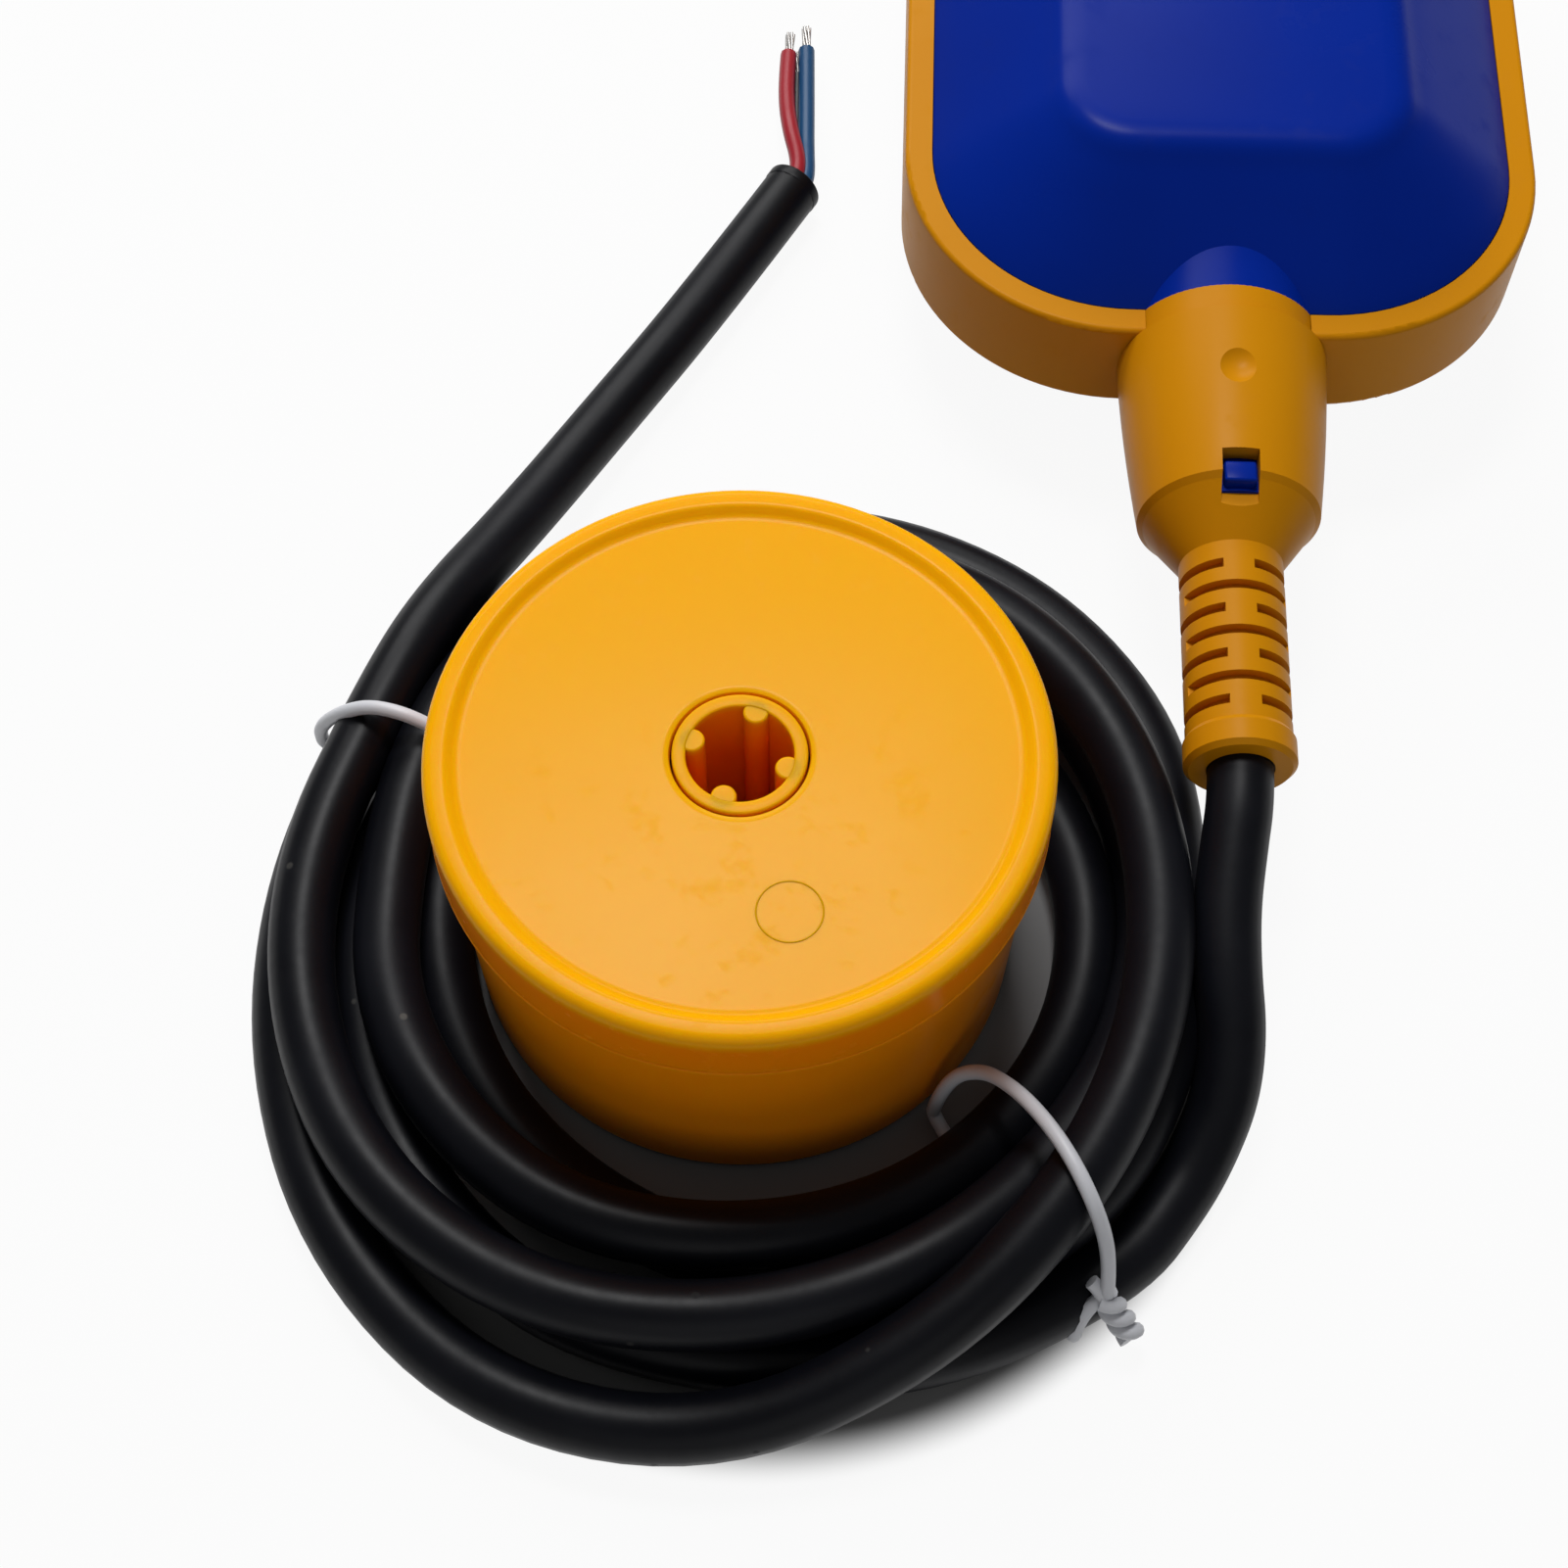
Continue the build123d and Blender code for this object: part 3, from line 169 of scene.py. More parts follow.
# The three cores, from the end of the jacket to their tabs inside, are thin PVC-covered wires. The
# same red, blue and black show again at the cable's bare end.
core_red_pvc = moulded("core_red_pvc", (160, 34, 46), (140, 24, 36), 0.4, 0.00003, 0.0, 0.3)
core_blue_pvc = moulded("core_blue_pvc", (26, 76, 118), (18, 60, 100), 0.4, 0.00003, 0.0, 0.3)
core_black_pvc = moulded("core_black_pvc", (42, 42, 44), (28, 28, 30), 0.42)
finish_nodes(core_red_pvc, "lead_red")
finish_nodes(core_blue_pvc, "lead_blue")
finish_nodes(core_black_pvc, "lead_black")

# Float shells: two deep blue polypropylene mouldings, welded round their edge, with a raised pad on
# both faces and a rounded root where the cable's neck leaves them. Each half is drawn up from its flat
# outline in steps, then given its wall.
MID_Z = 0.0205
FLOAT_X, BODY_Y, END_Y = 0.02525, 0.051, -0.003
SHELL_W, SHELL_L, SHELL_CORNER = 0.07576, 0.10376, 0.02588
SHELL_WALL = 0.0022
# How far each line of the shell lies in from its flange, and its height over the middle.
SHELL_STEPS = (
    (0.0, 5.28), (1.4, 5.28), (1.4, 7.0), (1.9, 7.5), (5.0, 10.2), (8.4, 13.0), (11.6, 15.7), (13.9, 17.6),
    (14.8, 18.3), (15.5, 18.95), (16.2, 19.55), (17.1, 20.1), (18.2, 20.4), (19.6, 20.5),
)
NECK_PROFILE = ((12.2, 0.0155), (12.2, 0.0035), (9.0, 0.0035), (9.0, -0.0245))
POST_Y, POST_Z, POST_R, POST_L = 0.0501, 0.0148, 0.0035, 0.0072
SHELL_POSTS = [(FLOAT_X + x, POST_Y + y) for x in (-0.014, 0.014) for y in (-0.026, 0.026)]
SNAP_OUT, SNAP_Z = 0.0226, 0.0095
SNAP_SIZE = (0.0038, 0.0028, 0.0018)
INSIDE_EDGE = 0.00035


def start_on(kind="VERT"):
    """Into edit mode on the object in hand, with its whole mesh selected."""
    bpy.ops.object.mode_set(mode="EDIT")
    bpy.ops.mesh.select_mode(type=kind)
    bpy.ops.mesh.select_all(action="SELECT")


def pick_faces(piece, wanted):
    """Selects the faces of a mesh that a test holds for, in edit mode."""
    bpy.ops.object.mode_set(mode="EDIT")
    bpy.ops.mesh.select_mode(type="FACE")
    bpy.ops.mesh.select_all(action="DESELECT")
    bpy.ops.object.mode_set(mode="OBJECT")
    for face in piece.data.polygons:
        face.select = wanted(face)
    bpy.ops.object.mode_set(mode="EDIT")


def settle(piece):
    """Back to object mode, with the object's place, turn and scale put into its mesh."""
    if bpy.context.mode != "OBJECT":
        bpy.ops.object.mode_set(mode="OBJECT")
    bpy.ops.object.select_all(action="DESELECT")
    piece.select_set(True)
    bpy.context.view_layer.objects.active = piece
    bpy.ops.object.transform_apply(location=True, rotation=True, scale=True)


def drawn_round(name, profile, sides=96, closed=True):
    """A turned shape round the upright axis: a ring extruded and scaled along a profile of radius and
    height."""
    bpy.ops.object.select_all(action="DESELECT")
    radius, height = profile[0]
    foot = (0.0, 0.0, height)
    bpy.ops.mesh.primitive_circle_add(vertices=sides, radius=radius, fill_type="NOTHING", location=foot)
    piece = bpy.context.object
    piece.name = name
    settle(piece)
    start_on()
    for wide, high in [*profile[1:], *profile[:1]] if closed else profile[1:]:
        bpy.ops.mesh.extrude_region_move(TRANSFORM_OT_translate={"value": (0.0, 0.0, high - height)})
        bpy.ops.transform.resize(value=(wide / radius, wide / radius, 1.0))
        radius, height = wide, high
    bpy.ops.mesh.select_all(action="SELECT")
    bpy.ops.mesh.remove_doubles(threshold=0.000001)
    bpy.ops.mesh.normals_make_consistent(inside=False)
    settle(piece)
    return piece


def joined(name, pieces):
    """Several meshes made one."""
    bpy.ops.object.select_all(action="DESELECT")
    for piece in pieces:
        piece.select_set(True)
    bpy.context.view_layer.objects.active = pieces[0]
    bpy.ops.object.join()
    pieces[0].name = name
    return pieces[0]


def finished(piece, finish, slot, *nodes, angle=35.0, flats=False):
    """Smooths a finished piece, gives it its finish, and puts it in place of its solids. With flats, its
    flat faces stay flat right up to their rounded edges."""
    settle(piece)
    bpy.ops.object.shade_smooth_by_angle(angle=radians(angle))
    if flats:
        level = piece.modifiers.new("level_flats", "WEIGHTED_NORMAL")
        level.keep_sharp = True
        bpy.ops.object.modifier_apply(modifier=level.name)
    piece.data.materials.clear()
    piece.data.materials.append(finish)
    if nodes:
        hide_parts(*nodes)
    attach(piece, "float_and_cable")


def rounded(piece, width, segments=3):
    """Small round edges on a piece, applied."""
    settle(piece)
    edge = piece.modifiers.new("round_edges", "BEVEL")
    edge.width = width
    edge.segments = segments
    edge.limit_method = "ANGLE"
    edge.angle_limit = radians(32.0)
    edge.harden_normals = False
    bpy.ops.object.modifier_apply(modifier=edge.name)


bpy.ops.object.select_all(action="DESELECT")
bpy.ops.mesh.primitive_plane_add(size=1.0, location=(FLOAT_X, BODY_Y, MID_Z))
shell = bpy.context.object
shell.scale = (SHELL_W, SHELL_L, 1.0)
settle(shell)
start_on()
bpy.ops.mesh.bevel(offset=SHELL_CORNER, segments=20, affect="VERTICES")
bpy.ops.mesh.select_mode(type="FACE")
bpy.ops.mesh.select_all(action="SELECT")
bpy.ops.mesh.extrude_region_move(TRANSFORM_OT_translate={"value": (0.0, 0.0, SHELL_STEPS[0][1] / 1000)})
for (last_in, last_up), (here_in, here_up) in zip(SHELL_STEPS, SHELL_STEPS[1:]):
    if here_in > last_in:
        bpy.ops.mesh.inset(thickness=(here_in - last_in) / 1000, depth=(here_up - last_up) / 1000)
    else:
        rise = (0.0, 0.0, (here_up - last_up) / 1000)
        bpy.ops.mesh.extrude_region_move(TRANSFORM_OT_translate={"value": rise})
pick_faces(shell, lambda face: face.center.z < MID_Z + 0.0001)
bpy.ops.mesh.delete(type="FACE")
settle(shell)
neck = drawn_round("shell_neck", [(r / 1000, -y) for r, y in NECK_PROFILE], 96, False)
neck.rotation_euler = (radians(90.0), 0.0, 0.0)
neck.location = (FLOAT_X, END_Y, MID_Z)
settle(neck)
start_on()
bpy.ops.mesh.bisect(plane_co=(FLOAT_X, END_Y, MID_Z), plane_no=(0.0, 0.0, -1.0), clear_outer=True)
settle(neck)
shell = joined("upper_float_shell", [shell, neck])
settle(shell)
start_on()
bpy.ops.mesh.normals_make_consistent(inside=False)
settle(shell)
wall = shell.modifiers.new("wall", "SOLIDIFY")
wall.thickness = SHELL_WALL
wall.offset = -1.0
bpy.ops.object.modifier_apply(modifier=wall.name)
inside = []
for x, y in SHELL_POSTS:
    bpy.ops.object.select_all(action="DESELECT")
    spot = (x, y, MID_Z + POST_Z)
    bpy.ops.mesh.primitive_cylinder_add(vertices=32, radius=POST_R, depth=POST_L, location=spot)
    inside.append(bpy.context.object)
bpy.ops.object.select_all(action="DESELECT")
bpy.ops.mesh.primitive_cube_add(size=1.0, location=(FLOAT_X, END_Y - SNAP_OUT, MID_Z + SNAP_Z))
snap = bpy.context.object
snap.scale = SNAP_SIZE
inside.append(snap)
for piece in inside:
    rounded(piece, INSIDE_EDGE)
shell = joined("upper_float_shell", [shell, *inside])
settle(shell)
bpy.ops.object.duplicate()
under = bpy.context.object
under.name = "lower_float_shell"
start_on()
bpy.ops.transform.resize(value=(1.0, 1.0, -1.0), center_override=(FLOAT_X, BODY_Y, MID_Z))
bpy.ops.mesh.flip_normals()
settle(under)
shell_blue = moulded("shell_blue", (4, 38, 142), (0, 28, 120), 0.32, 0.000008, 0.0, 0.05)
finished(shell, shell_blue, "shell_blue", "upper_shell")
finished(under, shell_blue, "shell_blue", "lower_shell")

# Frame band and gland sleeve: the yellow ring that hides the weld, and the sleeve that screws up to
# it, presses the seal round the cable, and ends in a ribbed strain relief.
frame_yellow = moulded("frame_yellow", (202, 134, 8), (190, 119, 2), 0.4, 0.000008, 0.0, 0.06)
finish_nodes(frame_yellow, "frame_band", "gland_sleeve")

# Counterweight: a yellow polypropylene cup with its cable tube, a mineral filling, and a lid with a
# raised rim that snaps on to it.
WEIGHT_X, WEIGHT_Y = -0.03125, -0.071
CUP_PROFILE = (
    (5.8, 0.0), (30.6, 0.0), (31.6, 1.0), (32.6, 32.5), (33.9, 32.5), (33.9, 33.2), (30.6, 33.2), (29.6, 2.0),
    (7.3, 2.0), (7.3, 40.2), (5.8, 40.2),
)
LID_PROFILE = (
    (7.5, 38.2), (7.5, 39.7), (7.65, 40.05), (7.95, 40.18), (8.4, 40.2), (29.6, 40.2), (30.2, 40.2),
    (30.7, 40.45), (31.1, 40.85), (31.5, 41.0), (31.8, 41.0), (32.7, 41.0), (33.2, 40.9), (33.6, 40.55),
    (33.82, 40.05),
    (33.85, 39.5), (33.85, 39.2), (33.85, 33.45), (33.75, 33.25), (30.4, 33.25), (30.4, 30.2), (28.8, 30.2),
    (28.8, 38.2),
)
TUBE_RIB_TURN = -16.0
TUBE_RIB_OUT, TUBE_RIB_R, TUBE_RIB_L, TUBE_RIB_Z = 0.0054, 0.0014, 0.0401, 0.02007
MARK_SPOT = (WEIGHT_X + 0.0060, WEIGHT_Y - 0.0185, 0.04016)
MARK_R, MARK_WIRE_R = 0.0035, 0.00012


def on_weight(name, profile, sides=128):
    """A turned piece of the counterweight, from millimetres, set on its axis."""
    piece = drawn_round(name, [(wide / 1000, high / 1000) for wide, high in profile], sides)
    piece.location = (WEIGHT_X, WEIGHT_Y, 0.0)
    settle(piece)
    return piece


weight_cup = on_weight("counterweight_cup", CUP_PROFILE)
rounded(weight_cup, 0.00025)
ribs = []
for quarter in range(4):
    turn = radians(TUBE_RIB_TURN + 90.0 * quarter)
    bpy.ops.object.select_all(action="DESELECT")
    spot = (WEIGHT_X + TUBE_RIB_OUT * cos(turn), WEIGHT_Y + TUBE_RIB_OUT * sin(turn), TUBE_RIB_Z)
    bpy.ops.mesh.primitive_cylinder_add(vertices=32, radius=TUBE_RIB_R, depth=TUBE_RIB_L, location=spot)
    ribs.append(bpy.context.object)
    rounded(ribs[-1], 0.0003)
weight_cup = joined("counterweight_cup", [weight_cup, *ribs])
weight_lid = on_weight("counterweight_lid", LID_PROFILE)
bpy.ops.object.select_all(action="DESELECT")
bpy.ops.mesh.primitive_torus_add(
    location=MARK_SPOT, major_radius=MARK_R, minor_radius=MARK_WIRE_R, major_segments=64, minor_segments=8,
)
weight_lid = joined("counterweight_lid", [weight_lid, bpy.context.object])
# Painted shade: the lid's side turns to a redder orange from 40 mm down, fully so under 38.5 mm.
lid_shade = ((246, 132, 2), 0.0385, 0.0400)
weight_yellow = moulded("weight_yellow", (247, 173, 5), (244, 166, 2), 0.26, 0.000003, 0.0, 0.05, lid_shade)
# Painted shade: the cup and its tube turn to a redder orange from 40 mm down, fully so under 39 mm; the
# tube's top keeps the lid's yellow.
cup_shade = ((248, 138, 2), 0.0390, 0.0400)
cup_yellow = moulded("cup_yellow", (246, 170, 5), (243, 162, 2), 0.34, 0.000008, 0.0, 0.05, cup_shade)
for finish in (weight_yellow, cup_yellow):
    surface = finish.node_tree.nodes["Principled BSDF"]
    surface.inputs["Subsurface Weight"].default_value = 0.35
    surface.inputs["Subsurface Radius"].default_value = (1.0, 0.45, 0.08)
    surface.inputs["Subsurface Scale"].default_value = 0.003
finished(weight_cup, cup_yellow, "weight_yellow", "weight_cup", flats=True)
finished(weight_lid, weight_yellow, "weight_yellow", "weight_lid", flats=True)
cast_filling = moulded("cast_filling", (120, 118, 112), (96, 94, 90), 0.85, 0.0003)
finish_nodes(cast_filling, "weight_ballast")

# Cable: 1.5 m of round three-core rubber cable. It drops from the gland to the floor, lies in nearly
# four and a half loose turns round the counterweight, and ends bare behind it.
CABLE_D = 0.0077
LEAD_ROUTE = (
    (0.02525, -0.0600, 0.0205),
    (0.02510, -0.0640, 0.0205),
    (0.02435, -0.0690, 0.0192),
    (0.02350, -0.0760, 0.0172),
    (0.02360, -0.0830, 0.0152),
    (0.02435, -0.0890, 0.0124),
    (0.02390, -0.0950, 0.0090),
    (0.02170, -0.1005, 0.0063),
    (0.01890, -0.1055, 0.0045),
)
TAIL_ROUTE = (
    (-0.0754, -0.0490, 0.0116),
    (-0.0706, -0.0355, 0.0102),
    (-0.0626, -0.0195, 0.0054),
    (-0.0526, -0.0016, 0.0039),
    (-0.0410, 0.0176, 0.0039),
    (-0.0294, 0.0390, 0.0039),
)
# Each turn's distance from the counterweight's axis and height, in millimetres, clockwise from the
# front right in steps of 45 or 22.5 degrees.
COIL = (
    (-22.5, 60.8, 3.9), (-45, 60.4, 3.9), (-67.5, 57.9, 3.9), (-90, 54.4, 3.9), (-112.5, 53.2, 3.9),
    (-135, 50.0, 3.9), (-157.5, 46.3, 3.9), (-180, 44.0, 3.9), (-225, 41.0, 3.9), (-270, 38.6, 3.9),
    (-315, 37.6, 3.9), (-360, 40.4, 3.9), (-382.5, 41.0, 4.4), (-405, 41.4, 6.5), (-427.5, 42.4, 9.0),
    (-450, 43.4, 10.8), (-472.5, 44.4, 10.8), (-495, 43.6, 10.8), (-517.5, 42.6, 10.8), (-540, 40.2, 10.6),
    (-585, 43.6, 10.8), (-630, 47.2, 10.8), (-675, 50.6, 11.0), (-697.5, 51.4, 10.6), (-720, 49.6, 9.8),
    (-742.5, 52.2, 9.6), (-765, 54.4, 9.4), (-787.5, 50.8, 5.0), (-810, 43.6, 3.9), (-832.5, 40.0, 3.9),
    (-855, 37.8, 3.9), (-877.5, 36.2, 3.9), (-900, 35.6, 4.2), (-945, 36.3, 9.4), (-990, 38.6, 17.6),
    (-1035, 43.4, 18.4), (-1080, 46.6, 18.6), (-1102.5, 49.4, 18.6), (-1125, 53.2, 17.6),
    (-1147.5, 58.2, 12.6), (-1170, 63.4, 5.2), (-1192.5, 64.4, 3.9), (-1215, 60.6, 3.9), (-1237.5, 55.6, 3.9),
    (-1260, 52.2, 3.9), (-1282.5, 50.9, 3.9), (-1305, 48.7, 3.9), (-1350, 47.4, 3.9), (-1395, 47.8, 4.0),
    (-1440, 47.4, 4.6), (-1485, 48.2, 9.8), (-1507.5, 50.6, 12.6), (-1530, 52.4, 11.4), (-1552.5, 54.4, 11.0),
    (-1575, 54.4, 11.2), (-1597.5, 52.2, 11.4), (-1620, 49.9, 11.6), (-1640, 49.0, 11.6),
)
STEP = 22.5


def eased(before, here, after, beyond, share):
    """A value between two stations of the coil, on a smooth line through their neighbours."""
    (a0, v0), (a1, v1), (a2, v2), (a3, v3) = before, here, after, beyond
    leaving = (v2 - v0) / (a2 - a0) * (a2 - a1)
    arriving = (v3 - v1) / (a3 - a1) * (a2 - a1)
    t2, t3 = share * share, share ** 3
    first_half = (2 * t3 - 3 * t2 + 1) * v1 + (t3 - 2 * t2 + share) * leaving
    return first_half + (3 * t2 - 2 * t3) * v2 + (t3 - t2) * arriving


def coil_point(angle, distance, height):
    """A control point of the coil, set out a little so that the spline passes at that distance."""
    out = distance / cos(radians(STEP / 2)) / 1000
    return (WEIGHT_X + out * cos(radians(angle)), WEIGHT_Y + out * sin(radians(angle)), height / 1000)


coil_route = []
for four in zip(COIL, COIL[1:], COIL[2:], COIL[3:]):
    count = max(1, round((four[1][0] - four[2][0]) / STEP))
    distances = [(station[0], station[1]) for station in four]
    heights = [(station[0], station[2]) for station in four]
    for part in range(count):
        angle = four[1][0] + (four[2][0] - four[1][0]) * part / count
        coil_route.append(coil_point(angle, eased(*distances, part / count), eased(*heights, part / count)))
coil_route.append(coil_point(*COIL[-2]))


def run_along(line, route):
    """Adds a smooth open spline through a route's control points to a curve."""
    spline = line.splines.new("NURBS")
    spline.points.add(len(route) - 1)
    for point, spot in zip(spline.points, route):
        point.co = (*spot, 1.0)
    spline.order_u = 3
    spline.use_endpoint_u = True


def cord(name, route, diameter, finish, sides=24):
    """A round cord along one smooth open line through a route's control points."""
    line = bpy.data.curves.new(name, "CURVE")
    line.dimensions = "3D"
    line.bevel_depth = diameter / 2
    line.bevel_resolution = sides // 4 - 1
    line.resolution_u = 8
    line.use_fill_caps = True
    run_along(line, route)
    piece = bpy.data.objects.new(name, line)
    bpy.context.scene.collection.objects.link(piece)
    line.materials.append(finish)
    return piece


jacket, surface, start, place = blank_finish("black_rubber_jacket")
drawn = noise(start, place, 900.0, 3.0)
smear = noise(start, place, 34.0, 5.0, 0.6)
smear = start.node("ShaderNodeValToRGB", {"stops": ((0.42, 0.0), (0.7, 1.0))}, {"Fac": smear})
speck = start.node("ShaderNodeTexVoronoi", {}, {"Vector": place, "Scale": 95.0})
speck = start.node("ShaderNodeValToRGB", {"stops": ((0.03, 1.0), (0.05, 0.0))}, {"Fac": speck})
shade = tint(start, smear, srgb(9, 10, 15), srgb(14, 15, 21))
shade = tint(start, speck * smear * 0.5, shade, srgb(120, 118, 112))
surface.inputs["Specular IOR Level"].default_value = 0.16
dress(jacket, surface, shade, smear * 0.1 + drawn * 0.06 + speck * 0.2 + 0.36, drawn + smear, 0.000012)
finish_nodes(jacket, "cable_inner")

float_cable = cord("float_cable", [*LEAD_ROUTE, *coil_route, *TAIL_ROUTE], CABLE_D, jacket, 32)
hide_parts("cable_lead", "cable_coil", "cable_tail")
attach(float_cable, "float_and_cable")

# Bare end: the jacket is cut off square, and the three cores leave it side by side with their tinned
# strands showing. Each is its own short length of wire.
CORE_D = 0.0023
TAIL_END = Vector(TAIL_ROUTE[-1])
TAIL_HEADING = (TAIL_END - Vector(TAIL_ROUTE[-2])).normalized()
CORE_ROUTES = {
    "core_red": (
        (1.6, 108.6, 4.9), (2.3, 111.0, 4.9), (2.3, 114.2, 5.0), (1.1, 118.6, 5.2), (0.3, 124.0, 4.9),
        (0.1, 130.0, 4.3), (0.2, 134.4, 3.8),
    ),
    "core_blue": (
        (2.2, 107.8, 4.3), (3.1, 109.6, 4.3), (3.6, 112.0, 4.2), (3.3, 117.0, 4.0), (3.1, 124.0, 3.8),
        (2.9, 130.0, 3.6), (2.7, 135.6, 3.5),
    ),
    "core_black": (
        (1.8, 108.0, 2.4), (2.5, 110.5, 2.3), (2.5, 114.0, 2.2), (2.0, 119.0, 2.1), (1.6, 125.0, 2.2),
        (1.5, 131.6, 2.4),
    ),
}
CORE_FINISHES = {"core_red": core_red_pvc, "core_blue": core_blue_pvc, "core_black": core_black_pvc}
STRAND_L = 0.0042
STRAND_D = 0.00042


def in_metres(route):
    """A route from the counterweight's axis, in millimetres, as places in the scene."""
    return [(WEIGHT_X + x / 1000, WEIGHT_Y + y / 1000, z / 1000) for x, y, z in route]


def wires(name, routes, diameter, finish, slot, *nodes):
    """One piece of several short wires, each along its own route."""
    piece = cord(name, routes[0], diameter, finish, 16)
    for route in routes[1:]:
        run_along(piece.data, route)
    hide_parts(*nodes)
    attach(piece, "float_and_cable")
    return piece


strand_routes = []
for name, route in CORE_ROUTES.items():
    spots = in_metres(route)
    wires(name + "_wire", [spots], CORE_D, CORE_FINISHES[name], name, name)
    tip = Vector(spots[-1])
    ahead = (tip - Vector(spots[-2])).normalized()
    side = ahead.cross(Vector((0.0, 0.0, 1.0))).normalized()
    up = side.cross(ahead)
    strand_routes.append([tip - ahead * 0.001, tip + ahead * 0.002, tip + ahead * STRAND_L])
    for sixth in range(6):
        strand = []
        for share in (-0.25, 0.15, 0.4, 0.7, 1.0):
            turn = radians(60.0 * sixth + 70.0 * share)
            spread = 0.00042 + 0.00008 * share
            strand.append(tip + ahead * (share * STRAND_L) + (side * cos(turn) + up * sin(turn)) * spread)
        strand_routes.append(strand)
tinned_copper = moulded("tinned_copper", (200, 198, 196), (168, 164, 160), 0.38, 0.00001, 1.0)
strands = wires(
    "core_strand_bundles", strand_routes, STRAND_D, tinned_copper, "strand_tinned", "core_strands",
)

bpy.ops.object.select_all(action="DESELECT")
bpy.ops.mesh.primitive_cylinder_add(vertices=64, radius=CABLE_D / 2 + 0.00004, depth=0.0016)
jacket_end = bpy.context.object
jacket_end.rotation_euler = TAIL_HEADING.to_track_quat("Z", "Y").to_euler()
settle(jacket_end)
pick_faces(jacket_end, lambda face: face.normal.dot(TAIL_HEADING) > 0.99)
bpy.ops.mesh.inset(thickness=0.0012)
bpy.ops.mesh.inset(thickness=0.0002, depth=-0.0005)
settle(jacket_end)
jacket_end.location = TAIL_END - TAIL_HEADING * 0.0006
rounded(jacket_end, 0.00022)
jacket_end.name = "jacket_end"
finished(jacket_end, jacket, "jacket_black")

# Wire ties: two lengths of white plastic-covered wire bind the turns together. The left one shows only
# where it passes over the cable, and the right one ends in a twisted pair outside the coil.
TIE_D = 0.0017
TIE_LEFT_LOOP = (
    (-44.0, 18.0, 0.85), (-52.4, 20.9, 0.85), (-52.8, 20.8, 5.0), (-51.0, 19.6, 9.8), (-48.2, 18.0, 14.8),
    (-44.8, 17.4, 17.4), (-41.2, 16.5, 18.0), (-37.8, 15.6, 17.0), (-34.2, 14.2, 15.4), (-31.2, 13.1, 12.0),
    (-30.8, 13.0, 6.0), (-31.2, 13.1, 0.85), (-44.0, 18.0, 0.85),
)
TIE_RIGHT_LOOP = (
    (38.6, -49.6, 0.85), (30.0, -36.0, 0.85), (22.6, -24.6, 0.85), (22.8, -24.7, 4.0), (23.4, -24.6, 8.2),
    (24.6, -24.2, 11.4), (26.3, -24.3, 13.4), (28.6, -25.5, 15.8), (32.1, -29.8, 19.4), (35.6, -35.9, 22.4),
    (38.4, -41.2, 21.8), (40.5, -44.4, 17.2), (41.3, -46.4, 11.8), (41.4, -47.6, 8.6),
)
TIE_LOOP_BACK = (
    (38.6, -49.6, 0.85), (38.2, -50.6, 2.2), (38.6, -49.6, 4.6), (39.9, -48.2, 6.8), (41.0, -47.6, 7.8),
)
TWIST_FROM = Vector((41.3, -47.8, 8.0))
TWIST_TO = Vector((44.6, -50.4, 3.0))
TWIST_OUT, TWIST_STEPS = 0.92, 12
TIE_STUB = ((41.4, -48.3, 7.6), (40.8, -47.4, 8.8), (39.6, -46.6, 9.6))

ahead = (TWIST_TO - TWIST_FROM).normalized()
side = ahead.cross(Vector((0.0, 0.0, 1.0))).normalized()
up = side.cross(ahead)
twisted = []
for start_turn in (0.0, 180.0):
    strand = []
    for step in range(TWIST_STEPS + 1):
        turn = radians(start_turn + 45.0 * step)
        out = (side * cos(turn) + up * sin(turn)) * TWIST_OUT
        strand.append(tuple(TWIST_FROM + (TWIST_TO - TWIST_FROM) * (step / TWIST_STEPS) + out))
    twisted.append(strand)
tie_white = moulded("tie_white", (212, 213, 218), (192, 194, 200), 0.45, 0.00003)
wires("left_wire_tie", [in_metres(TIE_LEFT_LOOP)], TIE_D, tie_white, "tie_white", "tie_left")
right_routes = [in_metres(route) for route in (TIE_RIGHT_LOOP, TIE_LOOP_BACK, TIE_STUB, *twisted)]
wires("right_wire_tie", right_routes, TIE_D, tie_white, "tie_white", "tie_right")

# Studio: a pale floor, a broad lamp behind, one above, a weak one in front, and the camera. Inside the coil
# the floor is painted darker, a painted shadow, and has no glow, so that the gaps between the turns look
# dark.
COIL_MIDDLE = (-0.02905, -0.0797, 0.0)
GAP_UP_TO, OPEN_FROM = 0.053, 0.059
FLOOR_TONE, GAP_PAINTED_SHADE = (0.62, 0.62, 0.62, 1.0), (0.2, 0.2, 0.2, 1.0)
FLOOR_GLOW = 0.93
bpy.ops.object.select_all(action="DESELECT")
bpy.ops.mesh.primitive_plane_add(size=6.0, location=(0.0, 0.0, -0.0002))
floor = bpy.context.object
floor.name = "studio_floor"
pale, surface, start, place = blank_finish("pale_floor")
surface.inputs["Roughness"].default_value = 0.8
paths = start.node("ShaderNodeLightPath", out="Is Camera Ray")
gloss = Socket(pale.node_tree, paths.link.node.outputs["Is Glossy Ray"])
out = start.node("ShaderNodeVectorMath", {"operation": "DISTANCE"}, {0: place, 1: COIL_MIDDLE}, out=1)
spread = {"Value": out, "From Min": GAP_UP_TO, "From Max": OPEN_FROM}
open_floor = start.node("ShaderNodeMapRange", {"interpolation_type": "SMOOTHSTEP"}, spread)
# Painted shadow: inside the coil the floor's colour is dark grey.
tone = tint(start, open_floor, GAP_PAINTED_SHADE, FLOOR_TONE)
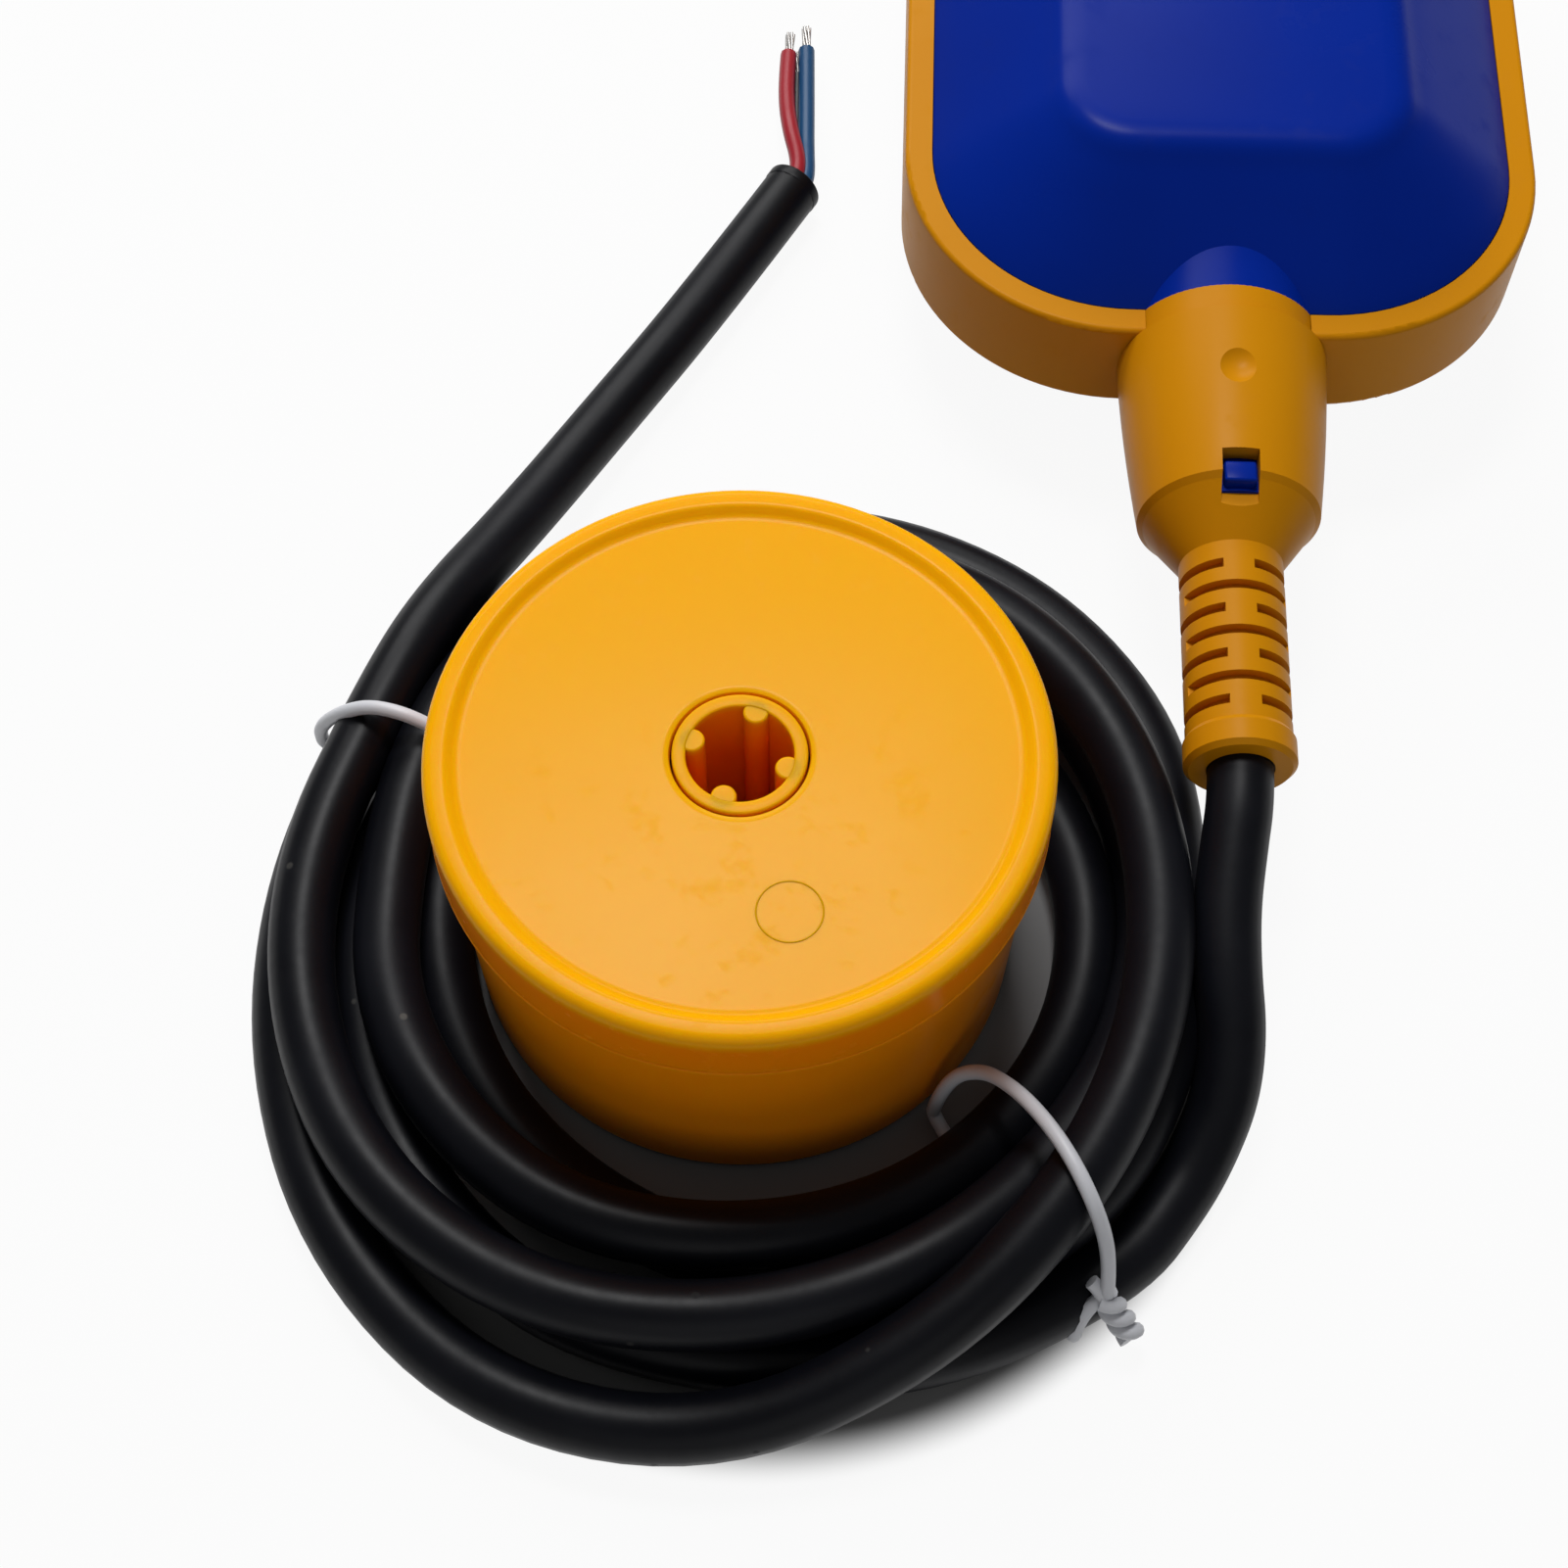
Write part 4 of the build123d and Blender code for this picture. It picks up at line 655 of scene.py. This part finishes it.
pale.node_tree.links.new(tone.link, surface.inputs["Base Color"])
glow = start.node("ShaderNodeEmission", {}, {"Color": (1.0, 1.0, 1.0, 1.0), "Strength": 1.0})
plain = Socket(pale.node_tree, surface.outputs[0])
share = (paths + gloss) * open_floor * FLOOR_GLOW
mixed = start.node("ShaderNodeMixShader", {}, {0: share, 1: plain, 2: glow})
pale.node_tree.links.new(mixed.link, pale.node_tree.nodes["Material Output"].inputs["Surface"])
floor.data.materials.append(pale)


def lamp(name, spot, aim, width, depth, watts):
    """A rectangular studio lamp that shines from its spot on its aim."""
    light = bpy.data.lights.new(name, "AREA")
    light.shape = "RECTANGLE"
    light.size = width
    light.size_y = depth
    light.energy = watts
    piece = bpy.data.objects.new(name, light)
    bpy.context.scene.collection.objects.link(piece)
    piece.location = spot
    piece.rotation_euler = (Vector(aim) - Vector(spot)).to_track_quat("-Z", "Y").to_euler()
    return piece


lamp("window_lamp", (-0.16, 0.545, 0.47), (-0.01, -0.04, 0.02), 0.5, 0.28, 2.8)
lamp("ceiling_lamp", (-0.07, 0.215, 0.715), (-0.02, -0.05, 0.02), 0.22, 0.16, 3.1)
lamp("front_lamp", (0.02, -0.62, 0.30), (0.0, -0.04, 0.02), 0.5, 0.4, 0.4)
world = bpy.data.worlds.new("soft_room")
bpy.context.scene.world = world
world.use_nodes = True
room = Socket(world.node_tree)
seen = room.node("ShaderNodeLightPath", out="Is Camera Ray")
back = world.node_tree.nodes["Background"]
back.inputs["Color"].default_value = (1.0, 1.0, 1.0, 1.0)
strength = seen * 0.84 + 0.16
world.node_tree.links.new(strength.link, back.inputs["Strength"])

bpy.context.scene.view_settings.view_transform = "Standard"
viewer = bpy.data.cameras.new("viewer")
viewer.sensor_width = 36.0
viewer.lens = 61.67
viewer.clip_start = 0.01
camera = bpy.data.objects.new("viewer", viewer)
bpy.context.scene.collection.objects.link(camera)
camera.location = (-0.02119, -0.21054, 0.28914)
camera.rotation_euler = (radians(28.66), 0.0, radians(2.2))
bpy.context.scene.camera = camera
